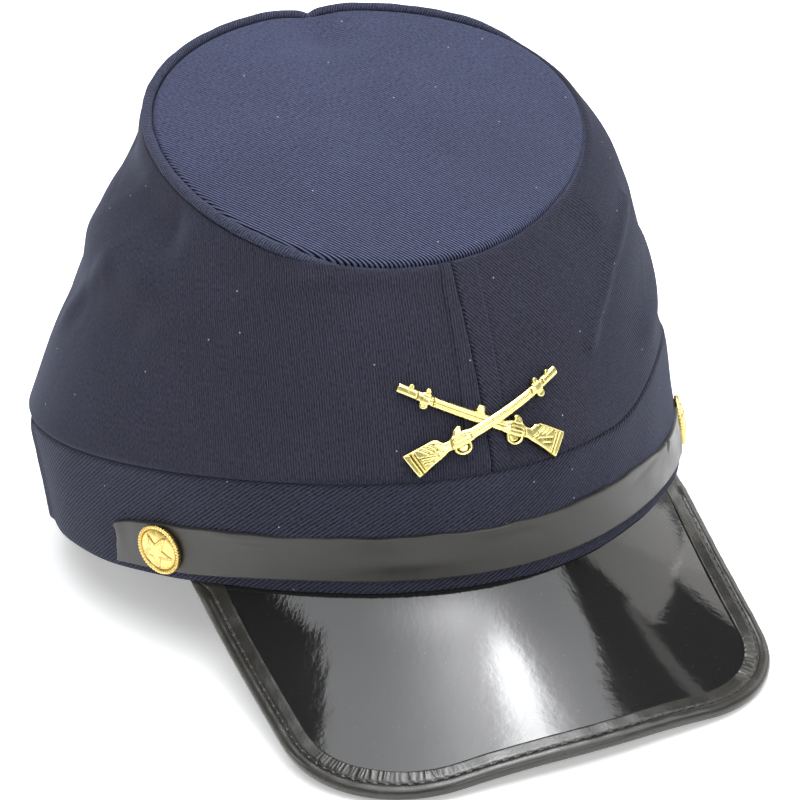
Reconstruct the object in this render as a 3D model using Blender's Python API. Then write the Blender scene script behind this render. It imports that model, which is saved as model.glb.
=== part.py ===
"""A soft military forage cap (kepi), built as the sewn hat is built.

The hat faces -Y, the wearer's right is -X, and +Z is up. Every shape is worked out in
millimetres in the hat's own frame, whose z = 0 is the lower edge of the head band, and is
turned into metres where its mesh is made. The empty "hat" then sets the whole hat down on
the floor, where it rests on the two front corners of its peak and on the back of its band.

Most surfaces use two parameters: "turn", the angle round the head from the front seam
(0 at the front, positive towards the wearer's left, pi at the back), and a height or a
share of the way up.
"""

from math import asin, atan2, cos, pi, radians, sin, sqrt, tan

import bpy
import numpy as np
from mathutils import Matrix, Vector

# ---------------------------------------------------------------- driving dimensions, mm

GAP = 0.3                  # clearance between neighbouring pieces

# Head band: an oval for a head of 58 to 59 cm, measured on its outside.
HALF_WIDTH = 82.5
HALF_LENGTH = 104.2
PINCH = -3.7               # third-harmonic part of the width, fullest at the ears
FLARE = 0.05               # growth of both half sizes per mm of height
LEAN = -0.12               # the slumped cloth leans to the wearer's right, per mm of height
SLANT = -0.07              # its seam rises towards the wearer's right, per mm of height
SADDLE = -0.9              # front and back edges lower than the sides
SPREAD = 3.6               # the soft lower edge spreads on the floor behind the wearer's
SPREAD_FACING = radians(-149.0)   # right ear by this much, facing this way
BAND_HEIGHT = 29.6
BAND_WALL = 2.4
BAND_COLUMNS = 72

# Flat top, an oval that tips forward.
TOP_HALF_WIDTH = 55.8
TOP_HALF_LENGTH = 54.5
TOP_LOBES = (1.1, -1.6)    # it is a little three-cornered: cosine and sine parts
TOP_CENTRE = (0.5, -31.1, 102.3)
TOP_TIP = radians(27.8)
TOP_BEND = (0.4, -0.9)     # its rim is not quite flat: cosine and sine of twice the turn
TOP_DOME = 2.2             # the middle stands this much over the rim's plane
TOP_WALL = 2.0
TOP_EDGE = -0.4            # edge of the cloth, measured out from the seam line

# Cord in the seam round the top.
CORD_RADIUS = 1.5
CORD_OUT = 1.7
CORD_DOWN = 0.6
CORD_POINTS = 60

# Side panels.
SIDE_WALL = 2.0
SIDE_OVERHANG = 1.1        # the panels stand out over the band
SIDE_TOP_OUT = 2.7
SIDE_TOP_DOWN = CORD_DOWN + CORD_RADIUS + GAP
SIDE_COLUMNS = 32
SIDE_ROWS = 14
SEAM_HALF_GAP = 0.0028     # radians of turn, front and back
ARC_PER_RADIAN = 75.0      # mm of cloth to a radian, for laying out folds
ARC_PER_RISE = 66.0        # mm of cloth from the band to the top, for laying out folds

# Chin strap and its buttons.
STRAP_LOW = 3.5
STRAP_HIGH = 15.0
STRAP_THICK = 1.2
STRAP_END = radians(70.2)
STRAP_COLUMNS = 40
BUTTON_TURN = radians(60.9)
BUTTON_RADIUS = 6.4
SHANK_RADIUS = 1.3
KEEPER_RADIUS = 3.2
KEEPER_THICK = 0.8

# Peak.
PEAK_SLOPE = 0.5           # fall per mm out from the band's edge
PEAK_THICK = 1.6
PEAK_TUCK = 2.2            # how far the peak runs in under the band
PEAK_STATIONS = 42
PEAK_ROWS = 6
BINDING_WIDTH = 6.4
BINDING_THICK = 1.0
BEAD_RADIUS = 2.1
BINDING_STATIONS = 48

# Badge, centred on the front seam.
BADGE_RISE = 0.27          # share of the way up the side panels
BADGE_GAP = 0.45
PIN_RADIUS = 0.8
PIN_HEAD_RADIUS = 2.2

# The hat set down on the floor.
REST_PITCH = radians(6.59)
REST_ROLL = radians(1.4)
REST_SINK = 0.8            # the soft back edge of the band is pressed flat by this much

# ---------------------------------------------------------------- tables

# Full or hollow parts of the side panels: where the cloth stands out from a straight line
# between band and top, in mm. "middle" is a bow over the whole height, "waist" is positive
# where the lower half stands out and the upper half is drawn in.
BULGES = (
    # name,           facing turn (deg), middle, waist
    ("right side",    -90.0,              1.3,   -0.5),
    ("left side",      90.0,              6.1,   -2.1),
    ("front",           0.0,              2.0,    0.0),
    ("back",          180.0,              3.0,    1.0),
)

# Folds and dents in the side panels: a ridge (height > 0) or a hollow (height < 0) along a
# straight line on the cloth, from one (turn, rise) to another.
FOLDS = (
    # name,                     turn0, rise0,  turn1, rise1, height, half width
    ("left front ridge",         66.0,  0.66,   31.0,  0.40,    1.5,    5.0),
    ("hollow over the ridge",   108.0,  0.66,   44.0,  0.62,   -4.2,    6.0),
    ("left shoulder",            48.0,  0.90,  100.0,  0.88,    1.5,    7.0),
    ("left lower swell",         72.0,  0.46,   96.0,  0.40,    1.2,   12.0),
    ("waist under right rim",  -122.0,  0.88,  -76.0,  0.90,   -3.0,    7.0),
    ("right shoulder",         -112.0,  0.72,  -74.0,  0.66,    1.2,    8.0),
    ("right middle hollow",    -116.0,  0.44,  -74.0,  0.48,   -2.0,    8.0),
    ("roll under front rim",    -66.0,  0.95,  -37.0,  0.92,    0.9,    4.5),
    ("back slack, right",      -150.0,  0.62, -128.0,  0.30,    1.3,    8.0),
    ("back slack, left",        150.0,  0.66,  126.0,  0.34,    1.3,    8.0),
)

# Dents in the rim of the flat top, where the cord's ends are joined and drawn in.
RIM_DENTS = (
    # turn (deg), half width (deg), down, in
    (177.0,       7.0,              2.6,  1.6),
)

# Soft dents in the flat top itself.
TOP_DENTS = (
    # x,     along, depth, half width     ("along" runs back from the middle, up the slope)
    (3.0,    38.0,  1.8,   11.0),
    (27.0,   30.0,  0.7,   14.0),
)

# The chin strap hangs a little slack where it has been bent: how far its edge drops.
STRAP_SLACK = (
    # turn (deg), half width (deg), upper edge, lower edge
    (-78.0,       14.0,             2.6,        1.6),
    (52.0,        11.0,             1.8,        0.0),
)

# The outline of the peak seen square on from above: corner points, each with the radius
# that rounds it. It is a little fuller on the wearer's right.
PEAK_CORNERS = (
    # name,         x,      y,     radius
    ("right end",  -66.4,  -40.0,    0.0),
    ("right",      -66.7, -145.4,   32.0),
    ("front",       -3.0, -150.7,  150.0),
    ("left",        47.6, -147.3,   28.0),
    ("left end",    63.6,  -42.0,    0.0),
)

# A rifle of the badge along its length: distances in mm from the muzzle, and from the
# barrel's centre line to the upper and lower edges. "relief" is its height at the middle.
RIFLE = (
    # station, upper, lower, relief
    (0.0,      1.10,  1.10,  1.3),
    (2.4,      1.10,  1.10,  1.3),
    (2.7,      1.90,  1.20,  1.5),     # front sight
    (3.8,      1.90,  1.20,  1.5),
    (4.1,      1.10,  1.10,  1.3),
    (6.0,      1.15,  1.15,  1.3),
    (6.4,      2.10,  2.40,  1.6),     # barrel band with its swivel
    (7.8,      2.10,  2.40,  1.6),
    (8.2,      1.20,  1.20,  1.4),
    (21.0,     1.35,  1.35,  1.6),
    (27.4,     1.45,  1.45,  1.6),
    (28.2,     2.00,  3.00,  1.7),     # lock, hammer and trigger guard
    (29.4,     3.00,  4.00,  1.8),
    (31.0,     2.90,  4.00,  1.8),
    (32.2,     1.70,  3.00,  1.7),
    (33.4,     1.50,  1.50,  1.6),     # wrist of the stock
    (35.0,     2.60,  1.90,  1.6),
    (37.0,     2.90,  2.40,  1.7),
    (40.0,     2.60,  3.30,  1.7),
    (43.0,     2.20,  4.20,  1.6),     # butt
)

# The two rifles: where the muzzle is from the badge's middle, which way the barrel runs
# back from it (degrees, anticlockwise from the wearer's left), and how high the back lies.
RIFLES = (
    # name,           muzzle across, muzzle up, direction, mirrored, lift
    ("under",         -21.2,          9.2,       -28.0,    False,    0.0),
    ("over",           19.8,          6.0,      -161.8,    True,     0.35),
)
PIN_PLACES = ((-9.0, -3.5), (5.7, -5.1))

# Colours of the finishes, linear.
FINISHES = {
    # name:          colour,                 metallic, roughness
    "navy_twill":   ((0.052, 0.056, 0.088),  0.0,      0.9),
    "navy_cord":    ((0.055, 0.059, 0.092),  0.0,      0.9),
    "black_vinyl":  ((0.040, 0.039, 0.036),  0.0,      0.45),
    "gloss_black":  ((0.012, 0.012, 0.012),  0.0,      0.06),
    "gold":         ((0.83, 0.62, 0.20),     1.0,      0.25),
}


# ---------------------------------------------------------------- shared shapes

def gauss(offset, half_width):
    """A smooth hump: 1 in the middle, about a third at one half width."""
    return np.exp(-((offset / half_width) ** 2))


def smooth(share):
    """Runs smoothly from 0 to 1 as "share" does, and stays there."""
    share = np.clip(share, 0.0, 1.0)
    return share * share * (3.0 - 2.0 * share)


def turn_gap(turn, centre):
    """The smallest angle between two turns, in radians, with its sign."""
    return (turn - centre + pi) % (2.0 * pi) - pi


def band_outline(turn, height, out=0.0):
    """A point of the head band's oval at a height over its lower edge, moved out by "out"."""
    turn = np.asarray(turn, float)
    height = np.asarray(height, float)
    facing = smooth(np.cos(turn - SPREAD_FACING) + 0.45)
    out = out + SPREAD * facing * np.clip(1.0 - height / BAND_HEIGHT, 0.0, 1.0)
    across = (HALF_WIDTH + FLARE * height + out) * np.sin(turn) + PINCH * np.sin(3.0 * turn)
    along = -(HALF_LENGTH + FLARE * height + out) * np.cos(turn)
    rise = height + SADDLE * np.cos(2.0 * turn) + SLANT * height * np.sin(turn)
    return np.stack(np.broadcast_arrays(across + LEAN * height, along, rise), axis=-1)


def top_frame(across, along, up):
    """A point of the flat top's own tipped frame, in the hat's frame."""
    x, y, z = TOP_CENTRE
    y = y + along * cos(TOP_TIP) - up * sin(TOP_TIP)
    z = z + along * sin(TOP_TIP) + up * cos(TOP_TIP)
    return np.stack(np.broadcast_arrays(x + across, y, z), axis=-1)


def top_outline(turn, out):
    """The flat top's outline in its own plane, moved out by "out": across and along."""
    cosine, sine = TOP_LOBES
    out = out + cosine * np.cos(3.0 * turn) + sine * np.sin(3.0 * turn)
    return (TOP_HALF_WIDTH + out) * np.sin(turn), -(TOP_HALF_LENGTH + out) * np.cos(turn)


def rim_dent(turn):
    """How far the rim is pressed down and drawn in at a turn."""
    down = sum(depth * gauss(turn_gap(turn, radians(at)), radians(width))
               for at, width, depth, pull in RIM_DENTS)
    drawn = sum(pull * gauss(turn_gap(turn, radians(at)), radians(width))
                for at, width, depth, pull in RIM_DENTS)
    return down, drawn


def rim(turn, out=0.0, down=0.0):
    """A point on or near the seam round the flat top."""
    turn = np.asarray(turn, float)
    pressed, drawn = rim_dent(turn)
    across, along = top_outline(turn, out - drawn)
    cosine, sine = TOP_BEND
    bend = cosine * np.cos(2.0 * turn) + sine * np.sin(2.0 * turn)
    return top_frame(across, along, bend - down - pressed)


def fold_height(turn, rise):
    """The ridges and hollows of the side panels, in mm out from the plain shape."""
    total = np.zeros(np.broadcast(turn, rise).shape)
    across = turn * ARC_PER_RADIAN
    up = rise * ARC_PER_RISE
    for name, turn0, rise0, turn1, rise1, height, width in FOLDS:
        start = np.array([radians(turn0) * ARC_PER_RADIAN, rise0 * ARC_PER_RISE])
        run = np.array([radians(turn1) * ARC_PER_RADIAN, rise1 * ARC_PER_RISE]) - start
        share = ((across - start[0]) * run[0] + (up - start[1]) * run[1]) / (run @ run)
        near = np.clip(share, 0.0, 1.0)
        off = np.hypot(across - start[0] - near * run[0], up - start[1] - near * run[1])
        total = total + height * gauss(off, width)
    return total


def side_point(turn, rise, folds=True):
    """The outer face of the side panels: straight from the band to the rim, then bowed out
    level by the bulges and the folds. Both fade to nothing at the two seams."""
    turn, rise = np.broadcast_arrays(np.asarray(turn, float), np.asarray(rise, float))
    foot = band_outline(turn, BAND_HEIGHT + GAP, SIDE_OVERHANG)
    head = rim(turn, SIDE_TOP_OUT, SIDE_TOP_DOWN)
    bow = np.zeros(turn.shape)
    for name, facing, middle, waist in BULGES:
        share = np.clip(np.cos(turn - radians(facing)), 0.0, 1.0)
        bow = bow + share * (middle * np.sin(pi * rise) + waist * np.sin(2.0 * pi * rise))
    if folds:
        bow = bow + fold_height(turn, rise) * np.clip(6.0 * rise * (1.0 - rise), 0.0, 1.0) ** 0.5
    level_out = np.stack([np.sin(turn), -np.cos(turn), np.zeros_like(turn)], axis=-1)
    return foot + (head - foot) * rise[..., None] + level_out * bow[..., None]


def unit(vectors):
    """Vectors made one long."""
    return vectors / np.linalg.norm(vectors, axis=-1, keepdims=True)


def side_normal(turn, rise):
    """The outward direction square to the plain side panel, from two small steps."""
    step = 1e-3
    along = side_point(turn + step, rise, False) - side_point(turn - step, rise, False)
    up = side_point(turn, rise + step, False) - side_point(turn, rise - step, False)
    return unit(np.cross(along, up))


# ---------------------------------------------------------------- mesh making

def finish_named(name):
    """The material of one of the hat's finishes, made once."""
    if name in bpy.data.materials:
        return bpy.data.materials[name]
    colour, metallic, roughness = FINISHES[name]
    material = bpy.data.materials.new(name)
    material.use_nodes = True
    shader = material.node_tree.nodes["Principled BSDF"]
    shader.inputs["Base Color"].default_value = (*colour, 1.0)
    shader.inputs["Metallic"].default_value = metallic
    shader.inputs["Roughness"].default_value = roughness
    return material


def add_piece(name, points, faces, finish, hat):
    """A mesh object from points in mm, as a child of the empty that carries the hat."""
    mesh = bpy.data.meshes.new(name)
    mesh.from_pydata([tuple(p) for p in np.asarray(points) * 0.001], [], faces)
    mesh.validate()
    mesh.materials.append(finish_named(finish))
    mesh.shade_smooth()
    mesh.set_sharp_from_angle(angle=radians(40.0))
    piece = bpy.data.objects.new(name, mesh)
    bpy.context.scene.collection.objects.link(piece)
    piece.parent = hat
    return piece


def grid_faces(rows, columns, wrap=False, close=False):
    """Quads of a grid of points stored row by row. The last column may join the first
    ("wrap"), and the last row the first ("close")."""
    last_row = rows if close else rows - 1
    last_column = columns if wrap else columns - 1
    return [(r * columns + c, r * columns + (c + 1) % columns,
             (r + 1) % rows * columns + (c + 1) % columns, (r + 1) % rows * columns + c)
            for r in range(last_row) for c in range(last_column)]


def thicken(piece, thickness, outwards=False):
    """Give a sheet its cloth or leather thickness on its inner side."""
    wall = piece.modifiers.new("wall", "SOLIDIFY")
    wall.thickness = thickness * 0.001
    wall.offset = 1.0 if outwards else -1.0
    wall.use_even_offset = True
    wall.use_rim = True
    return wall


def cut(piece, cutter, operation="DIFFERENCE"):
    """Cut a hidden tool out of a piece, or join it on."""
    cutter.hide_render = True
    cutter.display_type = "WIRE"
    modifier = piece.modifiers.new("cut", "BOOLEAN")
    modifier.operation = operation
    modifier.solver = "EXACT"
    modifier.object = cutter
    return modifier


def turned(name, profile, sides, finish, hat):
    """A solid turned about its own Z from (radius, height) pairs in mm that start and end
    on the axis, bottom first."""
    angles = np.linspace(0.0, 2.0 * pi, sides, endpoint=False)
    ring = np.stack([np.cos(angles), np.sin(angles)], axis=-1)
    points = [(0.0, 0.0, profile[0][1])]
    for radius, height in profile[1:-1]:
        points += [(x * radius, y * radius, height) for x, y in ring]
    points.append((0.0, 0.0, profile[-1][1]))
    rings = len(profile) - 2
    faces = [(0, 1 + (i + 1) % sides, 1 + i) for i in range(sides)]
    faces += [tuple(1 + v for v in face) for face in grid_faces(rings, sides, wrap=True)]
    start = 1 + (rings - 1) * sides
    faces += [(start + i, start + (i + 1) % sides, len(points) - 1) for i in range(sides)]
    return add_piece(name, points, faces, finish, hat)


def stand_on(piece, place, outward):
    """Put a piece at a place in mm with its own Z along "outward"."""
    up = Vector(outward)
    piece.location = Vector(place) * 0.001
    piece.rotation_euler = up.to_track_quat("Z", "Y").to_euler()


def peg(name, place, outward, radius, low, high, hat, sides=12):
    """A plain round tool or pin from "low" to "high" along "outward"."""
    piece = turned(name, ((0, low), (radius, low), (radius, high), (0, high)), sides,
                   "gold", hat)
    stand_on(piece, place, outward)
    return piece


# ---------------------------------------------------------------- crown

def make_crown_top(hat):
    """The flat top: rings of cloth from the middle out to the seam, a little domed, with
    soft dents near the join in the cord."""
    columns = 42
    shares = (0.18, 0.42, 0.64, 0.82, 0.94, 1.0)
    turn = np.linspace(-pi, pi, columns, endpoint=False)
    points = [top_surface(np.array(0.0), np.array(0.0))]
    for share in shares:
        points += list(top_surface(turn, share))
    rings = [tuple(1 + v for v in face) for face in grid_faces(len(shares), columns, wrap=True)]
    middle = [(0, 1 + c, 1 + (c + 1) % columns) for c in range(columns)]
    faces = middle + [tuple(reversed(face)) for face in rings]
    piece = add_piece("crown_top", points, faces, "navy_twill", hat)
    thicken(piece, TOP_WALL)
    return piece


def top_surface(turn, share):
    """A point of the flat top at a share of the way from its middle to the seam. The rim's
    own bend and dents fade towards the middle."""
    turn = np.asarray(turn, float)
    across, along = top_outline(turn, TOP_EDGE)
    flat = top_frame(across * share, along * share, 0.0)
    bent = rim(turn, TOP_EDGE) - top_frame(across, along, 0.0)
    rise = TOP_DOME * (1.0 - share ** 2) * np.ones_like(turn)
    for x, y, depth, width in TOP_DENTS:
        off = np.hypot(across * share - x, along * share - y)
        rise = rise - depth * gauss(off, width) * (1.0 - share ** 8)
    lift = np.array([0.0, -sin(TOP_TIP), cos(TOP_TIP)])
    return flat + bent * share ** 3 + lift * rise[..., None]


def make_top_piping(hat):
    """The cord sewn into the seam: a round bevel on a closed curve."""
    turn = np.linspace(-pi, pi, CORD_POINTS, endpoint=False)
    path = rim(turn, CORD_OUT, CORD_DOWN) * 0.001
    curve = bpy.data.curves.new("top_piping", "CURVE")
    curve.dimensions = "3D"
    curve.bevel_depth = CORD_RADIUS * 0.001
    curve.bevel_resolution = 2
    curve.use_fill_caps = True
    spline = curve.splines.new("POLY")
    spline.points.add(len(path) - 1)
    for point, place in zip(spline.points, path):
        point.co = (*place, 1.0)
    spline.use_cyclic_u = True
    spline.use_smooth = True
    curve.materials.append(finish_named("navy_cord"))
    piece = bpy.data.objects.new("top_piping", curve)
    bpy.context.scene.collection.objects.link(piece)
    piece.parent = hat
    return piece


def make_side(name, direction, hat):
    """One side panel, from the front seam round to the back seam. Its cloth is as thick as
    SIDE_WALL square to its face, and level at the foot, where it sits on the band."""
    share = np.linspace(0.0, 1.0, SIDE_COLUMNS)
    turn = direction * (SEAM_HALF_GAP + (pi - 2.0 * SEAM_HALF_GAP) * share)[None, :]
    rise = np.linspace(0.0, 1.0, SIDE_ROWS)[:, None]
    outer = side_point(turn, rise)
    outward = side_normal(turn, rise)
    outward[..., 2] *= np.clip(rise * 8.0, 0.0, 1.0)
    inner = outer - unit(outward) * SIDE_WALL
    points, faces = shell(outer, inner)
    if direction > 0:
        faces = [tuple(reversed(face)) for face in faces]
    return add_piece(name, points, faces, "navy_twill", hat)


# ---------------------------------------------------------------- band, strap, buttons

def make_band(hat):
    """The head band: a wall with a folded, rounded lower edge, carried round the oval. Where
    the hat stands on it, at the back, the soft edge is pressed flat on the floor."""
    half = BAND_WALL / 2.0
    section = (
        # out, height
        (0.0, BAND_HEIGHT), (0.0, 15.0), (0.0, 1.1), (-half + 0.55, 0.25), (-half, 0.0),
        (-half - 0.55, 0.25), (-BAND_WALL, 1.1), (-BAND_WALL, 15.0), (-BAND_WALL, BAND_HEIGHT),
    )
    turn = np.linspace(-pi, pi, BAND_COLUMNS, endpoint=False)
    rows = np.array([band_outline(turn, height, out) for out, height in section])
    rows = press_flat(rows, hat.matrix_basis)
    faces = grid_faces(len(section), BAND_COLUMNS, wrap=True, close=True)
    faces = [tuple(reversed(face)) for face in faces]
    return add_piece("band", rows.reshape(-1, 3), faces, "navy_twill", hat)


def press_flat(points, placing):
    """Move points that would be under the floor straight up onto it."""
    turn = np.array(placing.to_3x3())
    shift = np.array(placing.translation) * 1000.0
    world = points @ turn.T + shift
    world[..., 2] = np.maximum(world[..., 2], 0.0)
    return (world - shift) @ turn


def make_chin_strap(hat):
    """A strip cut from sheet, lying on the front of the band from just behind one button
    to just behind the other."""
    turn = np.linspace(-STRAP_END, STRAP_END, STRAP_COLUMNS)
    low, high = strap_edges(turn)
    points = band_outline(turn[None, :], np.array([low, high]), GAP + STRAP_THICK)
    piece = add_piece("chin_strap", points.reshape(-1, 3), grid_faces(2, STRAP_COLUMNS),
                      "black_vinyl", hat)
    thicken(piece, STRAP_THICK)
    return piece


def strap_edges(turn):
    """The heights of the strap's two edges over the band's lower edge."""
    low = STRAP_LOW * np.ones_like(turn)
    high = STRAP_HIGH * np.ones_like(turn)
    for at, width, upper, lower in STRAP_SLACK:
        slack = gauss(turn_gap(turn, radians(at)), radians(width))
        low = low - lower * slack
        high = high - upper * slack
    return low, high


def button_place(side):
    """The middle of a button on the band's outer face, and the way that it faces."""
    turn = side * BUTTON_TURN
    middle = sum(strap_edges(np.array(turn))) / 2.0
    step = 1e-3
    place = band_outline(turn, middle)
    along = band_outline(turn + step, middle) - band_outline(turn - step, middle)
    up = band_outline(turn, middle + 0.5) - band_outline(turn, middle - 0.5)
    return place, unit(np.cross(along, up))


def make_button(name, side, hat):
    """A domed button: a rim ring, a dome with a raised five-pointed star, and behind it the
    shank that passes through strap and band to a small keeper."""
    sides = 20
    tail = -BAND_WALL - GAP
    back = GAP + STRAP_THICK + GAP
    tip, dip = 4.4, 1.9
    rings = (
        # radius at a star tip, radius between tips, height
        (KEEPER_RADIUS, KEEPER_RADIUS, tail - KEEPER_THICK),
        (KEEPER_RADIUS, KEEPER_RADIUS, tail),
        (SHANK_RADIUS, SHANK_RADIUS, tail),
        (SHANK_RADIUS, SHANK_RADIUS, back),
        (BUTTON_RADIUS, BUTTON_RADIUS, back),
        (BUTTON_RADIUS, BUTTON_RADIUS, back + 0.9),
        (5.6, 5.6, back + 1.15),
        (5.0, 5.0, back + 1.0),
        (tip, dip, back + 1.3),
        (tip - 0.3, dip - 0.15, back + 1.65),
    )
    angles = np.linspace(0.0, 2.0 * pi, sides, endpoint=False)
    star = (np.abs((angles * 5.0 / pi) % 2.0 - 1.0))     # 1 at a tip, 0 between tips
    points = [(0.0, 0.0, rings[0][2])]
    for at_tip, between, height in rings:
        radius = between + (at_tip - between) * star
        points += list(np.stack([np.sin(angles) * radius, np.cos(angles) * radius,
                                 np.full(sides, height)], axis=-1))
    points.append((0.0, 0.0, back + 2.1))
    faces = [(0, 1 + i, 1 + (i + 1) % sides) for i in range(sides)]
    faces += [tuple(1 + v for v in reversed(face))
              for face in grid_faces(len(rings), sides, wrap=True)]
    start = 1 + (len(rings) - 1) * sides
    faces += [(start + (i + 1) % sides, start + i, len(points) - 1) for i in range(sides)]
    piece = add_piece(name, points, faces, "gold", hat)
    place, outward = button_place(side)
    stand_on(piece, place, outward)
    return piece


def make_button_hole(side, hat):
    """The tool that cuts the shank's hole through strap and band."""
    place, outward = button_place(side)
    return peg("button_hole_tool", place, outward, SHANK_RADIUS + GAP, -8.0, 8.0, hat)


# ---------------------------------------------------------------- peak

def rounded(corners, spacing):
    """A path through corner points, each rounded by an arc of its own radius, as points
    about "spacing" apart."""
    path = []
    for index, (name, x, y, radius) in enumerate(corners):
        here = np.array([x, y])
        if radius == 0.0:
            path.append(here)
            continue
        before = unit(np.array(corners[index - 1][1:3]) - here)
        after = unit(np.array(corners[index + 1][1:3]) - here)
        half = np.arccos(np.clip(before @ after, -1.0, 1.0)) / 2.0
        reach = radius / tan(half)
        centre = here + unit(before + after) * radius / sin(half)
        sweep = pi - 2.0 * half
        steps = max(2, int(radius * sweep / spacing) + 1)
        start = here + before * reach - centre
        side = np.sign(start[0] * after[1] - start[1] * after[0]) or 1.0
        for k in range(steps + 1):
            angle = side * sweep * k / steps
            turned_start = (start[0] * cos(angle) - start[1] * sin(angle),
                            start[0] * sin(angle) + start[1] * cos(angle))
            path.append(centre + np.array(turned_start))
    dense = np.array(path)
    length = np.concatenate([[0.0], np.cumsum(np.linalg.norm(np.diff(dense, axis=0), axis=1))])
    count = int(length[-1] / spacing) + 1
    even = np.linspace(0.0, length[-1], count)
    return np.stack([np.interp(even, length, dense[:, k]) for k in (0, 1)], axis=-1)


def band_edge():
    """The front half of the band's lower edge as a fine line in plan: turns and points."""
    turn = np.linspace(-pi / 2.0, pi / 2.0, 2401)
    return turn, band_outline(turn, 0.0)


EDGE_TURN, EDGE_LINE = band_edge()


def out_from_band(plan):
    """For points in plan: the nearest turn on the band's edge, the distance out from it
    (negative inside), and the direction straight out."""
    plan = np.asarray(plan, float)
    flat = plan.reshape(-1, 2)
    steps = flat[:, None, :] - EDGE_LINE[None, :, :2]
    near = np.argmin((steps ** 2).sum(axis=2), axis=1)
    turn = EDGE_TURN[near]
    normal = edge_normal(turn)
    distance = ((flat - EDGE_LINE[near, :2]) * normal).sum(axis=1)
    shape = plan.shape[:-1]
    return turn.reshape(shape), distance.reshape(shape), normal.reshape(*shape, 2)


def edge_normal(turn):
    """The level direction straight out from the band's edge."""
    step = 1e-4
    along = (band_outline(turn + step, 0.0) - band_outline(turn - step, 0.0))[..., :2]
    along = unit(along)
    return np.stack([along[..., 1], -along[..., 0]], axis=-1)


def peak_top(plan):
    """The peak's upper face over points in plan, and the direction square to it. The face
    hangs a gap under the band's edge and falls away at one slope, so that straight lines
    run out square from the edge; further in it is level."""
    turn, distance, normal = out_from_band(plan)
    under = band_outline(turn, 0.0)[..., 2] - GAP - 0.05
    height = under - PEAK_SLOPE * np.maximum(distance, 0.0)
    tilt = PEAK_SLOPE * np.clip(distance + 0.5, 0.0, 1.0)
    square = unit(np.concatenate([normal * tilt[..., None], np.ones_like(height)[..., None]],
                                 axis=-1))
    return np.concatenate([plan, height[..., None]], axis=-1), square


def resample(path, count):
    """A path as "count" points evenly spaced along it."""
    length = np.concatenate([[0.0], np.cumsum(np.linalg.norm(np.diff(path, axis=0), axis=1))])
    even = np.linspace(0.0, length[-1], count)
    return np.stack([np.interp(even, length, path[:, k]) for k in range(path.shape[1])], axis=-1)


def peak_path(clear, count):
    """The peak's outline in plan, from the wearer's right round the front, over the part
    that stands more than "clear" out from the band, with the direction inwards."""
    path = rounded(PEAK_CORNERS, 0.5)
    outside = np.nonzero(out_from_band(path)[1] > clear)[0]
    path = path[outside[0]:outside[-1] + 1]
    along = unit(np.gradient(path, axis=0))
    inward = np.stack([-along[:, 1], along[:, 0]], axis=-1)
    both = resample(np.concatenate([path, inward], axis=1), count)
    return both[:, :2], unit(both[:, 2:])


def make_peak(hat):
    """The peak: a sheet ruled by straight lines from the band's edge to the outline, with
    its inner edge tucked level under the band."""
    outline = peak_path(0.4, PEAK_STATIONS)[0]
    turn, distance, normal = out_from_band(outline)
    edge = band_outline(turn, 0.0)[..., :2]
    rows = [edge - normal * PEAK_TUCK]
    rows += [edge + (outline - edge) * share for share in np.linspace(0.0, 1.0, PEAK_ROWS)]
    upper, square = peak_top(np.array(rows))
    return add_piece("peak", *shell(upper, upper - square * PEAK_THICK), "gloss_black", hat)


def shell(upper, lower):
    """Points and faces of a closed sheet between two grids of the same size."""
    rows, columns = upper.shape[:2]
    count = rows * columns
    top = [tuple(reversed(face)) for face in grid_faces(rows, columns)]
    faces = [face for face in top] + [tuple(v + count for v in reversed(face)) for face in top]
    border = [c for c in range(columns)]
    border += [r * columns + columns - 1 for r in range(1, rows)]
    border += [(rows - 1) * columns + c for c in range(columns - 2, -1, -1)]
    border += [r * columns for r in range(rows - 2, 0, -1)]
    ring = list(zip(border, border[1:] + border[:1]))
    faces += [(a, b, b + count, a + count) for a, b in ring]
    return np.concatenate([upper.reshape(-1, 3), lower.reshape(-1, 3)]), faces


def binding_section():
    """The binding's cross-section as (inward, up) pairs, closed: a strip folded over the
    sheet with a round bead along the fold. "up" is measured from the sheet's upper face."""
    lift = GAP
    sink = -PEAK_THICK - GAP
    middle = (lift + sink) / 2.0
    bead = [(-0.7 - BEAD_RADIUS * cos(radians(angle)), middle + BEAD_RADIUS * sin(radians(angle)))
            for angle in (70.0, 25.0, -25.0, -70.0)]
    upper = [(BINDING_WIDTH, lift + BINDING_THICK * 0.55), (3.0, lift + BINDING_THICK),
             (0.6, lift + BINDING_THICK)]
    lower = [(0.6, sink - BINDING_THICK), (BINDING_WIDTH, sink - BINDING_THICK * 0.55)]
    slot = [(BINDING_WIDTH, sink), (-GAP, sink), (-GAP, lift), (BINDING_WIDTH, lift)]
    return upper + bead + lower + slot


def flap_share(outline, inward):
    """The share of the binding's full width that fits between the outline and the band."""
    widths = np.linspace(0.0, BINDING_WIDTH, 33)
    line = outline[None] + inward[None] * widths[:, None, None]
    fits = out_from_band(line)[1] > 2.0 * GAP
    return np.where(fits, widths[:, None], 0.0).max(axis=0) / BINDING_WIDTH


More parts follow.
